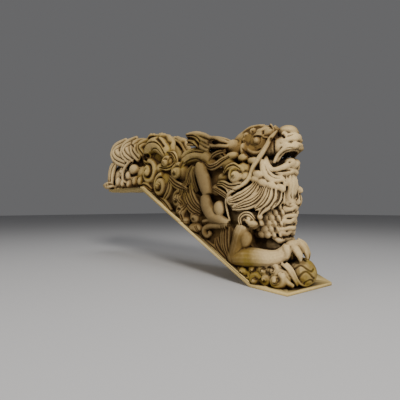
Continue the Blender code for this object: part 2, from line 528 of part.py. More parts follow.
def back_arch():
    """The second bend of the body, scaled, with a wavy fin over it."""
    strand([(-1.832, 1.295), (-1.79, 1.39), (-1.697, 1.432), (-1.578, 1.415), (-1.472, 1.337),
            (-1.407, 1.247)], (-0.14, -0.16, -0.14),
           (0.07, 0.1, 0.1, 0.075), (1, 0.8, 1))
    blob(-1.64, 0, 1.3, (0.24, 0.16, 0.17), sides=RIGHT)
    strand([(-1.887, 1.41), (-1.816, 1.469), (-1.718, 1.492), (-1.597, 1.479), (-1.501, 1.423),
            (-1.433, 1.343), (-1.38, 1.278)], -0.165,
           (0.012, 0.018, 0.018, 0.012), (1, 1, 1))
    fin = smooth([(-1.962, -0.1, 1.493), (-1.896, -0.1, 1.542), (-1.803, -0.09, 1.573),
                  (-1.669, -0.09, 1.555), (-1.551, -0.09, 1.535), (-1.457, -0.09, 1.499),
                  (-1.397, -0.1, 1.44), (-1.371, -0.1, 1.355)], 3)
    for number, place in enumerate(fin):
        bulge = 0.022 + 0.012 * math.sin(number * 1.3)
        blob(place.x, place.y - bulge, place.z - 0.01, (0.034, 0.03, 0.03 + bulge * 0.5))
    strand([(-1.95, 1.452), (-1.874, 1.518), (-1.758, 1.538), (-1.616, 1.515), (-1.5, 1.462),
            (-1.426, 1.374), (-1.389, 1.31)], -0.1,
           (0.025, 0.034, 0.034, 0.024), (1, 1.2, 1))
    ring(-1.821, 1.309, -0.17, 0.07, 0.016)
    ring(-1.821, 1.309, -0.15, 0.105, 0.015)


def tail():
    """The brush of the tail, the stump behind it and the low clouds of the landing."""
    for path, width, count in (
        ([(-2.324, 1.29), (-2.548, 1.385), (-2.58, 1.504), (-2.391, 1.583)], 0.2, 3),
        ([(-2.14, 1.29), (-2.301, 1.396), (-2.317, 1.504), (-2.131, 1.571)], 0.19, 3),
        ([(-2.0, 1.302), (-2.105, 1.414), (-2.087, 1.503), (-1.98, 1.534)], 0.14, 2),
        ([(-1.907, 1.346), (-1.974, 1.432), (-1.93, 1.491), (-1.822, 1.508)], 0.11, 2),
    ):
        lock(path, (-0.15, -0.175, -0.1), width, count, root=0.8, tip=0.7)
    blob(-2.24, 0, 1.36, (0.28, 0.13, 0.22), sides=RIGHT)
    blob(-2.42, 0, 1.33, (0.17, 0.13, 0.17), sides=RIGHT)
    stump = [(-2.57, 1.325), (-2.65, 1.233), (-2.677, 1.127), (-2.675, 0.969)]
    lock(stump, (-0.17, -0.19), 0.13, 3, root=0.8, tip=1.0)
    blob(-2.76, -0.15, 1.417, (0.055, 0.08, 0.045))
    blob(-2.62, 0, 1.1, (0.16, 0.16, 0.22), sides=RIGHT)
    blob(-2.72, -0.07, 1.0, (0.1, 0.08, 0.14))
    blob(-2.75, -0.06, 0.93, (0.13, 0.09, 0.04))
    blob(-2.728, -0.22, 1.006, (0.1, 0.05, 0.03), turn=-15)
    blob(-2.692, -0.2, 0.969, (0.13, 0.06, 0.035))
    scroll(-2.39, 1.156, 0.075, -0.19, turns=1.3, start=100, dome=0.06)
    lock([(-2.149, 1.281), (-2.244, 1.224), (-2.313, 1.149), (-2.307, 1.046),
          (-2.219, 1.001)], -0.2, 0.04, 1, root=0.8, tip=0.7)
    blob(-2.208, -0.19, 1.1, (0.055, 0.045, 0.06))
    blob(-2.093, -0.18, 1.171, (0.09, 0.06, 0.07))
    pegs = [(-2.449, 1.029), (-2.324, 0.999), (-2.175, 0.977), (-2.038, 1.009), (-1.916, 1.001)]
    for x, z in pegs:
        blob(x, -0.2, z, (0.042, 0.045, 0.062))
    blob(-1.95, -0.1, 1.1, (0.12, 0.1, 0.12))


def ball_mesh():
    """Every ellipsoid, each a copy of one unit sphere."""
    work = bmesh.new()
    bmesh.ops.create_uvsphere(work, u_segments=BALL_SEGMENTS, v_segments=BALL_RINGS, radius=1)
    unit = bpy.data.meshes.new("unit_ball")
    work.to_mesh(unit)
    work.free()
    copies = []
    for matrix in balls:
        copy = unit.copy()
        copy.transform(matrix)
        if matrix.determinant() < 0:
            copy.flip_normals()
        copies.append(copy)
    bpy.data.meshes.remove(unit)
    return joined(copies)


def curve_mesh(curve):
    """The mesh of a curve, with its caps welded on."""
    holder = bpy.data.objects.new("guide", curve)
    bpy.context.scene.collection.objects.link(holder)
    graph = bpy.context.evaluated_depsgraph_get()
    mesh = bpy.data.meshes.new_from_object(holder.evaluated_get(graph))
    bpy.data.objects.remove(holder)
    work = bmesh.new()
    work.from_mesh(mesh)
    bmesh.ops.remove_doubles(work, verts=work.verts, dist=0.00001)
    work.to_mesh(mesh)
    work.free()
    return mesh


def strand_mesh(squeeze, members):
    """Strands that are all flattened alike: drawn round and stretched, then squeezed."""
    curve = bpy.data.curves.new("strands", "CURVE")
    curve.dimensions = "3D"
    curve.bevel_depth = 1.0
    curve.bevel_resolution = 2
    curve.use_fill_caps = True
    for points, radii in members:
        spline = curve.splines.new("POLY")
        spline.points.add(len(points) - 1)
        for place, point, radius in zip(spline.points, points, radii):
            place.co = (point.x / squeeze[0], point.y / squeeze[1], point.z / squeeze[2], 1)
            place.radius = radius
    mesh = curve_mesh(curve)
    mesh.transform(Matrix.Diagonal((*squeeze, 1)))
    return mesh


def outline_mesh(outline, half_width, standing=True):
    """A closed outline made as thick as twice half_width, standing in the side view or lying in plan."""
    curve = bpy.data.curves.new("outline", "CURVE")
    curve.dimensions = "2D"
    curve.fill_mode = "BOTH"
    curve.extrude = half_width
    spline = curve.splines.new("POLY")
    spline.points.add(len(outline) - 1)
    for place, (across, up) in zip(spline.points, outline):
        place.co = (across, up, 0, 1)
    spline.use_cyclic_u = True
    mesh = curve_mesh(curve)
    if standing:
        mesh.transform(Matrix.Rotation(math.radians(90), 4, "X"))
    return mesh


def bed_height(x):
    """Height of the stair's underside at x."""
    return min(max((TOE - x) * SLOPE, 0.0), RISE)


def carried(point):
    """A drawn point at the same share of this stair, width and height."""
    toe = -DRAWN_LOWER_BED / 2
    top = toe - DRAWN_RUN
    if point.x > toe:
        x = point.x * LOWER_BED / DRAWN_LOWER_BED
    elif point.x > top:
        x = TOE + (point.x - toe) * RUN / DRAWN_RUN
    else:
        x = TOP_STEP + (point.x - top) * UPPER_BED / DRAWN_UPPER_BED
    drawn_bed = min(max((toe - point.x) * DRAWN_SLOPE, 0.0), DRAWN_RUN * DRAWN_SLOPE)
    z = bed_height(x) + (point.z - drawn_bed) * FIGURE_HEIGHT / DRAWN_HEIGHT
    return Vector((x, point.y * BODY_WIDTH / DRAWN_WIDTH, z))


def joined(meshes):
    work = bmesh.new()
    for mesh in meshes:
        work.from_mesh(mesh)
        bpy.data.meshes.remove(mesh)
    result = bpy.data.meshes.new("joined")
    work.to_mesh(result)
    work.free()
    return result


def largest_body(mesh):
    """Keeps the largest body of a mesh, without hollows sealed inside it or loose crumbs."""
    work = bmesh.new()
    work.from_mesh(mesh)
    left = set(work.verts)
    bodies = []
    while left:
        seed = left.pop()
        body, front = {seed}, [seed]
        while front:
            vert = front.pop()
            for edge in vert.link_edges:
                other = edge.other_vert(vert)
                if other in left:
                    left.remove(other)
                    body.add(other)
                    front.append(other)
        bodies.append(body)
    bodies.sort(key=len)
    crumbs = [vert for body in bodies[:-1] for vert in body]
    bmesh.ops.delete(work, geom=crumbs, context="VERTS")
    work.to_mesh(mesh)
    work.free()


def evaluated(obj):
    """Replaces an object's mesh by the one that its modifiers make."""
    graph = bpy.context.evaluated_depsgraph_get()
    mesh = bpy.data.meshes.new_from_object(obj.evaluated_get(graph))
    obj.modifiers.clear()
    obj.data = mesh


def solid(name, mesh, home):
    obj = bpy.data.objects.new(name, mesh)
    home.objects.link(obj)
    return obj


def cutter(name, mesh, home):
    obj = solid(name, mesh, home)
    obj.hide_render = True
    obj.display_type = "WIRE"
    return obj


def box_mesh(low, high):
    work = bmesh.new()
    low, high = Vector(low), Vector(high)
    matrix = Matrix.Translation((low + high) / 2) @ Matrix.Diagonal((*(high - low), 1))
    bmesh.ops.create_cube(work, size=1, matrix=matrix)
    mesh = bpy.data.meshes.new("box")
    work.to_mesh(mesh)
    work.free()
    return mesh


def boolean(obj, other, operation):
    """Joins or cuts. The reduced carving has slivers on which the exact solver gives an empty result."""
    step = obj.modifiers.new(operation.lower(), "BOOLEAN")
    step.object = other
    step.operation = operation
    step.solver = "MANIFOLD"
    evaluated(obj)


def carving(home):
    """The whole carving as one body, reduced to the number of triangles that the solids may have."""
    for part in (core, head, jaw, beard, whisker, cheek, mane, ear_and_tuft, chest, shoulder, right_arm,
                 left_arm, ball, lower_clouds, foot_of_slope, leg, slope_clouds, front_arch, back_arch,
                 tail):
        part()
    meshes = [ball_mesh()]
    meshes += [strand_mesh(squeeze, members) for squeeze, members in strands.items()]
    meshes += [outline_mesh(outline, half_width) for outline, half_width in walls]
    mesh = joined(meshes)
    for vert in mesh.vertices:
        vert.co = carried(vert.co)
    obj = solid("carving", mesh, home)
    remesh = obj.modifiers.new("remesh", "REMESH")
    remesh.mode = "VOXEL"
    remesh.voxel_size = VOXEL
    evaluated(obj)
    largest_body(obj.data)
    reduce = obj.modifiers.new("reduce", "DECIMATE")
    reduce.ratio = TRIANGLES / (2 * len(obj.data.polygons))
    reduce.use_collapse_triangulate = True
    evaluated(obj)
    return obj


def slab_mesh():
    """The sloping slab between the lower and the upper bed, square at its two sides."""
    drop = SLAB * math.hypot(1, SLOPE)
    outline = [(0.0, 0.0), (0.0, SLAB), (TOE + (drop - SLAB) / SLOPE, SLAB), (TOP_STEP, RISE + drop),
               (TOP_STEP, RISE), (TOE, 0.0)]
    return outline_mesh(outline, BODY_WIDTH / 2)


def landing_mesh():
    """The floor slab round the ball, skewed at its front and drawn out at its far corner."""
    side = BODY_WIDTH / 2
    front = LOWER_BED / 2
    outline = [(TOE, -side), (front, -side - FRONT_FLARE), (front + FRONT_SKEW, side - FRONT_FLARE / 3),
               (front - CORNER_BACK, CORNER_REACH), (TOE, side)]
    mesh = outline_mesh(outline, SLAB / 2, standing=False)
    mesh.transform(Matrix.Translation((0, 0, SLAB / 2)))
    return mesh


def upper_bed_mesh():
    low = (BACK_END + 0.12, -UPPER_BED_WIDTH / 2, RISE)
    return box_mesh(low, (TOP_STEP + 0.02, UPPER_BED_WIDTH / 2, RISE + SLAB))


def stone_material():
    made = bpy.data.materials.new("weathered_stone")
    made.use_nodes = True
    shader = made.node_tree.nodes["Principled BSDF"]
    shader.inputs["Base Color"].default_value = (0.52, 0.42, 0.30, 1)
    shader.inputs["Roughness"].default_value = 0.9
    shader.inputs["Metallic"].default_value = 0.0
    made.diffuse_color = (0.52, 0.42, 0.30, 1)
    return made


def main():
    clear_scene()
    parts = collection("stair_dragon")
    helpers = collection("cutters")
    helpers.hide_render = True
    carved = carving(helpers)
    above = [(FAR, 0.0), (FAR, FAR), (-FAR, FAR), (-FAR, RISE), (TOP_STEP, RISE), (TOE, 0.0)]
    boolean(carved, cutter("above_the_stair", outline_mesh(above, FAR / 2), helpers), "INTERSECT")
    slabs = {"slope_slab": slab_mesh(), "landing": landing_mesh(), "upper_bed": upper_bed_mesh()}
    for name, mesh in slabs.items():
        boolean(carved, cutter(name, mesh, helpers), "UNION")
    stone = stone_material()
    layers = (
        ("lower_stone", -FAR, JOINT_HEIGHT - JOINT_GAP / 2),
        ("upper_stone", JOINT_HEIGHT + JOINT_GAP / 2, FAR),
    )
    for name, low, high in layers:
        layer = cutter(name + "_layer", box_mesh((-FAR, -FAR, low), (FAR, FAR, high)), helpers)
        piece = solid(name, carved.data.copy(), parts)
        boolean(piece, layer, "INTERSECT")
        largest_body(piece.data)
        piece.data.materials.clear()
        piece.data.materials.append(stone)
        piece.data.shade_smooth()
        piece.data.set_sharp_from_angle(angle=math.radians(50))
    bpy.data.objects.remove(carved)


main()
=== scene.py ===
"""The finished surface of the stair dragon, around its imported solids.

Metres, in the frame of the solids: +X is the way the head faces, -Y the dragon's right side, +Z up.
Each stone is carved anew from finer forms than its solid has, then weathered and coloured.
"""

import math

import bmesh
import bpy
import numpy as np
from mathutils import Euler, Matrix, Vector, kdtree, noise
from mathutils.bvhtree import BVHTree


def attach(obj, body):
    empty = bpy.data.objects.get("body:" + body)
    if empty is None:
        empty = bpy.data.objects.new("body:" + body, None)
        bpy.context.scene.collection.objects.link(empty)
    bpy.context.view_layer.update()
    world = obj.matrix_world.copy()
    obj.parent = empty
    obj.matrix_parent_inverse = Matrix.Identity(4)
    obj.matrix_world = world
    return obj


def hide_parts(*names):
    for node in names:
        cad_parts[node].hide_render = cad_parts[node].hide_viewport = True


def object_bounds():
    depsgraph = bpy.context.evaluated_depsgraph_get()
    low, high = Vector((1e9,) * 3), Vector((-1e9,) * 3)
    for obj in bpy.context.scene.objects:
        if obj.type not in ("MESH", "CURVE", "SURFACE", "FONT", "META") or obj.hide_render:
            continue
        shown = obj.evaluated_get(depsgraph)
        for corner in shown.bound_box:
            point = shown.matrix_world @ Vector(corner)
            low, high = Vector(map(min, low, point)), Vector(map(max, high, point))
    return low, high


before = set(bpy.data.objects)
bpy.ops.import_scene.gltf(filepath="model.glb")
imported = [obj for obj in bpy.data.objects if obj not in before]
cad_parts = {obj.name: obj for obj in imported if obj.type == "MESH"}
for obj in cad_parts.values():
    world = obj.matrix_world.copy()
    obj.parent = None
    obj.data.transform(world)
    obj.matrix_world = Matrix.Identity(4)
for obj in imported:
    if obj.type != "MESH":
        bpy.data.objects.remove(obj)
solid_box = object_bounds()

# The stair and the beds, as the solids have them
RISER = 0.150
TREAD = 0.270
STEPS = 6
LOWER_BED = 0.370
UPPER_BED = 0.950
BODY_WIDTH = 0.567
SLAB = 0.025
FRONT_FLARE = 0.032
FRONT_SKEW = 0.094
CORNER_REACH = 0.560
CORNER_BACK = 0.177
UPPER_BED_WIDTH = 0.500
JOINT_HEIGHT = 0.520
JOINT_GAP = 0.0003

SLOPE = RISER / TREAD
RUN = STEPS * TREAD
RISE = STEPS * RISER
TOE = -LOWER_BED / 2
TOP_STEP = TOE - RUN
BACK_END = TOP_STEP - UPPER_BED
FAR = 4.0

# How finely the stones are carved
VOXEL = 0.0055
STONE_TRIANGLES = 190000
BALL_SEGMENTS = 28
BALL_RINGS = 18
SPAN_STEPS = 6

# The ridges of a lock, and the seams cut between them
CROWN = 0.014
SEAM_WIDTH = 0.0075
SEAM_DEPTH = 0.009

# The wavy lines carved round the ball: angle up from its middle, and sway, in radians
BALL_PLACE = (0.135, 0.0, 0.128)
BALL_RADIUS = 0.126
BALL_LINES = ((-0.5, 0.2), (0.0, 0.25), (0.45, 0.2))

# Wear of the surface: how wide and how deep its hollows are
WEAR = ((0.16, 0.0028), (0.045, 0.0014), (0.018, 0.0008))

# How many directions each point looks in for open air, how far, and from how far off the surface
WAYS = 20
SIGHT = 0.15
LIFT_OFF = 0.004

# The camera of the photograph, solved from the edges of the beds
CAMERA_PLACE = (1.387, -2.446, 0.667)
CAMERA_HEADING = 45.0
HORIZON_PIXEL = 208.0
FOCAL_PIXELS = 311.0
FRAME_PIXELS = 400.0
SENSOR = 36.0

BOTH = (1, -1)
RIGHT = (1,)

balls = []
strands = {}
walls = []
grooves = []
lines = []


def smooth(points, steps=SPAN_STEPS):
    """Points along a Catmull-Rom curve through these points, ends included."""
    points = [Vector(p) for p in points]
    ends = [2 * points[0] - points[1]] + points + [2 * points[-1] - points[-2]]
    found = []
    for a, b, c, d in zip(ends, ends[1:], ends[2:], ends[3:]):
        for step in range(steps):
            t = step / steps
            found.append(
                0.5 * (2 * b + (c - a) * t + (2 * a - 5 * b + 4 * c - d) * t * t
                       + (3 * b - a - 3 * c + d) * t ** 3)
            )
    found.append(points[-1])
    return found


def value_at(values, share):
    """The value at a share of the way through a list of values, or the value itself."""
    if not isinstance(values, (tuple, list)):
        return values
    place = share * (len(values) - 1)
    low = min(int(place), len(values) - 2)
    return values[low] + (values[low + 1] - values[low]) * (place - low)


def blob(x, y, z, radii, turn=0.0, tilt=0.0, yaw=0.0, sides=BOTH):
    """An ellipsoid. turn is its angle in side view, in degrees, tilt leans it and yaw turns it in plan."""
    spin = Euler((math.radians(tilt), math.radians(turn), math.radians(yaw))).to_matrix().to_4x4()
    body = Matrix.Translation((x, y, z)) @ spin @ Matrix.Diagonal((*radii, 1))
    for side in sides:
        balls.append(Matrix.Diagonal((1, side, 1, 1)) @ body)


def strand(path, y, radius, squeeze, sides=BOTH):
    """A carved strand through points of the side view, at a depth y. Its radius changes along it."""
    line = smooth([Vector((x, 0, z)) for x, z in path])
    last = len(line) - 1
    points = [Vector((p.x, value_at(y, i / last), p.z)) for i, p in enumerate(line)]
    radii = [value_at(radius, i / last) for i in range(len(line))]
    add_strand(points, radii, squeeze, sides)


def rod(path, radius, squeeze=(1, 1, 1), sides=BOTH):
    """A strand through points in space."""
    line = smooth(path)
    last = len(line) - 1
    add_strand(line, [value_at(radius, i / last) for i in range(len(line))], squeeze, sides)


def add_strand(points, radii, squeeze, sides):
    """Keeps a strand for its making, with its mirror image where both sides have it."""
    for side in sides:
        turned = [Vector((p.x, p.y * side, p.z)) for p in points]
        strands.setdefault(squeeze, []).append((turned, radii))


def lock(path, y, width, count, root=0.6, tip=0.35):
    """A lock of hair or flame in the side view: a flat body under deep ridges, drawn in at both ends."""
    line = smooth([Vector((x, 0, z)) for x, z in path])
    last = len(line) - 1
    spreads = [width * value_at((root, 1.0, 1.0, tip), i / last) for i in range(last + 1)]
    middle = [Vector((p.x, value_at(y, i / last), p.z)) for i, p in enumerate(line)]
    sideways = []
    for before, after in zip(line[:1] + line, line[1:] + line[-1:]):
        along = (after - before).normalized()
        sideways.append(Vector((-along.z, 0, along.x)))
    add_strand(middle, [spread / 2 for spread in spreads], (1, 0.4, 1), BOTH)
    for number in range(count):
        place = (number - (count - 1) / 2) / max(count - 1, 1) * 2
        points = []
        for p, across, spread in zip(middle, sideways, spreads):
            aside = across * place * spread / 2 * (1 - 1 / max(count, 2))
            points.append(p + aside - Vector((0, CROWN * (1 - 0.6 * place * place), 0)))
        add_strand(points, [0.53 * spread / count for spread in spreads], (1, 1.1, 1), BOTH)
        if number:
            aside = (number / count - 0.5) * width
            seam = [p + across * aside * spread / width
                    for p, across, spread in zip(middle, sideways, spreads)]
            engrave(seam, SEAM_WIDTH, SEAM_DEPTH, abs(value_at(y, 0.5)) - 0.05)


def scroll(x, z, radius, y, turns=1.5, start=200.0, sense=1, stretch=1.0, dome=0.06):
    """A cloud volute: a broad cord winds over a dome to a knob. stretch makes it taller than wide."""
    dome = min(dome, radius * 0.7)
    blob(x, y + dome, z, (radius * 0.98, dome, radius * 0.98 * stretch))
    count = int(16 * turns)
    pitch = radius / (turns + 0.5)
    points = []
    for i in range(count + 1):
        share = i / count
        angle = math.radians(start) + sense * 2 * math.pi * turns * share
        reach = (radius - pitch / 2) * (1 - share)
        points.append(Vector((x + reach * math.cos(angle), y + 0.3 * dome * (1 - 2 * share),
                              z + stretch * reach * math.sin(angle))))
    add_strand(points, [0.5 * pitch] * len(points), (1, 1, 1), BOTH)
    seam = []
    for point in points:
        out = Vector((point.x - x, 0, (point.z - z) / stretch))
        if out.length > pitch * 0.6:
            out *= (out.length - pitch / 2) / out.length
            seam.append(Vector((x + out.x, y, z + stretch * out.z)))
    engrave(seam, min(0.009, pitch * 0.3), min(0.012, pitch * 0.35), abs(y) - 0.06)
    blob(x, y - 0.3 * dome, z, (pitch * 0.5, pitch * 0.6, pitch * 0.5))


def ring(x, z, y, radius, cord):
    """A closed ring that lies in the side view."""
    turn = [2 * math.pi * i / 18 for i in range(19)]
    points = [Vector((x + radius * math.cos(a), y, z + radius * math.sin(a))) for a in turn]
    add_strand(points, [cord] * len(points), (1, 0.9, 1), BOTH)


def wall(outline, half_width):
    """A flat outline of the side view, as thick as the balustrade's core."""
    walls.append((outline, half_width))


def core():
    """The mass behind the carving, from the foot of the slope to the tail."""
    wall([(0.02, 0.0), (0.02, 0.17), (-0.03, 0.6), (-0.03, 0.95), (-0.1, 1.03), (-0.2, 1.12), (-0.45, 1.2),
          (-0.62, 1.07), (-0.93, 1.1), (-1.2, 1.1), (-1.45, 1.2), (-1.8, 1.3), (-2.1, 1.3), (-2.45, 1.28),
          (-2.62, 1.14), (-2.68, 0.9), (-1.805, 0.9), (-0.185, 0.0)], 0.1)
    wall([(-0.1, 0.01), (-0.12, 0.2), (-0.25, 0.34), (-0.22, 0.6), (-0.3, 0.98), (-0.5, 1.05), (-1.0, 1.08),
           (-1.5, 1.14), (-2.0, 1.2), (-2.5, 1.16), (-2.62, 0.91), (-1.805, 0.91), (-0.185, 0.01)], 0.165)
    wall([(-0.12, 0.01), (-0.3, 0.33), (-0.62, 0.68), (-1.0, 0.86), (-1.5, 1.0), (-2.0, 1.08), (-2.5, 1.06),
           (-2.6, 0.91), (-1.805, 0.91), (-0.185, 0.01)], 0.2)


def head():
    """Skull, cheeks and snout, with the upper jaw."""
    blob(-0.29, 0, 1.26, (0.29, 0.15, 0.18), sides=RIGHT)
    blob(-0.42, 0, 1.2, (0.19, 0.165, 0.165), sides=RIGHT)
    blob(-0.483, -0.13, 1.26, (0.075, 0.05, 0.06))
    blob(-0.27, -0.085, 1.175, (0.125, 0.085, 0.11))
    blob(-0.13, -0.05, 1.225, (0.12, 0.1, 0.115))
    blob(-0.153, -0.07, 1.33, (0.075, 0.07, 0.065))
    blob(0.025, 0.0, 1.324, (0.085, 0.095, 0.062), sides=RIGHT)
    blob(0.044, 0.0, 1.265, (0.1, 0.1, 0.055), sides=RIGHT)
    blob(-0.03, -0.075, 1.195, (0.085, 0.062, 0.075))
    blob(0.02, -0.06, 1.224, (0.08, 0.065, 0.055))
    rod([(-0.036, -0.13, 1.051), (-0.005, -0.125, 1.112), (0.035, -0.12, 1.15), (0.08, -0.1, 1.174),
         (0.119, -0.055, 1.181), (0.104, 0.0, 1.193)], (0.013, 0.018, 0.022, 0.022))
    rod([(-0.022, -0.105, 1.056), (0.009, -0.1, 1.105), (0.046, -0.09, 1.14), (0.085, -0.06, 1.153),
         (0.094, 0.0, 1.162)], 0.012)
    rod([(0.019, -0.115, 1.246), (0.055, -0.105, 1.233), (0.095, -0.085, 1.241), (0.121, -0.04, 1.246),
         (0.109, 0.0, 1.254)], (0.01, 0.016, 0.018))
    blob(0.047, -0.075, 1.192, (0.06, 0.05, 0.035))
    blob(0.063, -0.02, 1.202, (0.085, 0.075, 0.032))
    eye()
    nostril()


def eye():
    """The round eye in its ring, the lids, and the brow over it with its curls."""
    blob(-0.19, -0.148, 1.26, (0.034, 0.04, 0.034))
    ring(-0.188, 1.26, -0.152, 0.047, 0.0085)
    ring(-0.188, 1.26, -0.146, 0.068, 0.0105)
    rod([(-0.324, -0.145, 1.267), (-0.289, -0.155, 1.206), (-0.236, -0.16, 1.162), (-0.179, -0.158, 1.149),
         (-0.148, -0.15, 1.167), (-0.129, -0.14, 1.199)], (0.009, 0.018, 0.022, 0.014, 0.009))
    rod([(-0.339, -0.14, 1.247), (-0.309, -0.15, 1.187), (-0.256, -0.155, 1.138), (-0.192, -0.155, 1.119)],
        (0.009, 0.013, 0.009))
    blob(-0.103, -0.115, 1.322, (0.045, 0.034, 0.04))
    blob(-0.176, -0.122, 1.347, (0.045, 0.034, 0.026))
    blob(-0.17, -0.14, 1.307, (0.05, 0.026, 0.013))
    blob(-0.108, -0.14, 1.272, (0.03, 0.026, 0.016))
    scroll(-0.266, 1.362, 0.038, -0.128, turns=1.1, start=-40, dome=0.03)
    scroll(-0.331, 1.336, 0.034, -0.132, turns=1.1, start=-60, dome=0.03)
    scroll(-0.345, 1.293, 0.026, -0.14, turns=1.0, start=-60, dome=0.025)
    rod([(-0.131, -0.03, 1.416), (-0.086, -0.07, 1.362), (-0.058, -0.1, 1.308), (-0.047, -0.11, 1.261)],
        (0.013, 0.016, 0.012))
    rod([(-0.434, -0.1, 1.343), (-0.34, -0.1, 1.398), (-0.253, -0.08, 1.416), (-0.17, -0.06, 1.412)],
        (0.01, 0.016, 0.01))


def nostril():
    """The curl of the nostril and the rim over it."""
    scroll(0.037, 1.291, 0.032, -0.1, turns=1.1, start=-100, dome=0.025)
    rod([(0.009, -0.09, 1.333), (0.054, -0.085, 1.334), (0.082, -0.06, 1.324), (0.083, -0.02, 1.324),
         (0.062, 0.02, 1.335)], (0.012, 0.016, 0.016))


def jaw():
    """Lower jaw with its lip and tongue, and the bands of plates under it."""
    blob(-0.13, 0, 1.02, (0.1, 0.12, 0.095), sides=RIGHT)
    blob(-0.04, 0, 0.98, (0.12, 0.12, 0.04), sides=RIGHT)
    rod([(-0.106, -0.145, 1.117), (-0.091, -0.15, 1.072), (-0.073, -0.15, 1.027), (-0.042, -0.145, 0.993),
         (0.002, -0.13, 0.993), (0.044, -0.105, 1.011), (0.062, -0.07, 1.034), (0.042, 0.0, 1.052)],
        (0.012, 0.017, 0.022, 0.028, 0.032))
    blob(0.061, -0.035, 1.052, (0.052, 0.055, 0.045))
    blob(0.06, 0.0, 1.028, (0.05, 0.06, 0.03), sides=RIGHT)
    rod([(-0.13, 0, 1.06), (-0.04, 0, 1.065), (0.02, 0, 1.06), (0.045, 0, 1.075)], (0.05, 0.04, 0.022),
        sides=RIGHT)
    rod([(-0.108, -0.16, 1.103), (-0.093, -0.168, 1.053), (-0.077, -0.17, 1.0), (-0.048, -0.165, 0.955),
         (-0.01, -0.15, 0.93), (0.027, -0.125, 0.93)], (0.009, 0.0125, 0.0135, 0.012))
    rod([(-0.127, -0.175, 1.081), (-0.114, -0.185, 1.019), (-0.095, -0.185, 0.961), (-0.056, -0.178, 0.915),
          (-0.014, -0.16, 0.895), (0.02, -0.13, 0.897), (0.045, -0.1, 0.915)], (0.02, 0.03, 0.022, 0.018))
    plates = [(-0.148, -0.205, 0.955), (-0.175, -0.205, 0.916), (-0.105, -0.2, 0.88),
              (-0.034, -0.185, 0.853), (0.032, -0.15, 0.832)]
    for place in plates:
        blob(*place, (0.052, 0.03, 0.036), turn=20)
    rod([(-0.063, -0.12, 0.975), (0.003, -0.1, 0.964), (0.056, -0.06, 0.976), (0.06, 0.0, 0.985)],
        (0.03, 0.035, 0.03))
    blob(-0.04, 0, 0.9, (0.1, 0.12, 0.09), sides=RIGHT)


def beard():
    """The tuft under the chin, drawn down and curled at its end."""
    rod([(0.054, -0.04, 0.974), (0.064, -0.05, 0.913), (0.068, -0.05, 0.853), (0.046, -0.045, 0.778),
         (0.051, -0.03, 0.727)], (0.014, 0.02, 0.022, 0.02))
    rod([(0.053, -0.012, 0.985), (0.067, -0.014, 0.915), (0.072, -0.014, 0.855), (0.053, -0.014, 0.778),
         (0.058, -0.008, 0.718)], (0.016, 0.024, 0.026, 0.022))
    rod([(0.03, 0.02, 0.98), (0.055, 0.022, 0.9), (0.055, 0.022, 0.83), (0.035, 0.022, 0.75),
         (0.052, 0.018, 0.7)], (0.016, 0.024, 0.024, 0.02), sides=RIGHT)
    blob(0.056, 0.0, 0.723, (0.03, 0.05, 0.024), sides=RIGHT)
    rod([(0.021, -0.115, 0.945), (0.042, -0.11, 0.893), (0.048, -0.108, 0.843), (0.027, -0.11, 0.823)],
        (0.01, 0.015, 0.01))
    rod([(0.043, -0.08, 0.954), (0.052, -0.08, 0.903), (0.053, -0.082, 0.852)], (0.009, 0.013, 0.009))


def whisker():
    """The long ribbon from the nose, over the cheek and down the mane."""
    rod([(-0.021, -0.095, 1.329), (-0.041, -0.12, 1.298), (-0.06, -0.15, 1.257), (-0.08, -0.172, 1.201),
         (-0.109, -0.192, 1.143), (-0.151, -0.205, 1.081), (-0.195, -0.215, 1.015), (-0.215, -0.225, 0.954),
          (-0.241, -0.24, 0.899), (-0.301, -0.252, 0.861), (-0.383, -0.258, 0.824), (-0.443, -0.262, 0.777),
          (-0.459, -0.26, 0.713), (-0.451, -0.252, 0.63), (-0.43, -0.242, 0.548)], (0.011, 0.02, 0.022,
                                                                                    0.022, 0.021, 0.02,
                                                                                    0.018, 0.015, 0.012,
                                                                                    0.01), (1, 0.9, 1))
    rod([(-0.476, -0.25, 0.866), (-0.444, -0.252, 0.814), (-0.411, -0.25, 0.776)], 0.01)


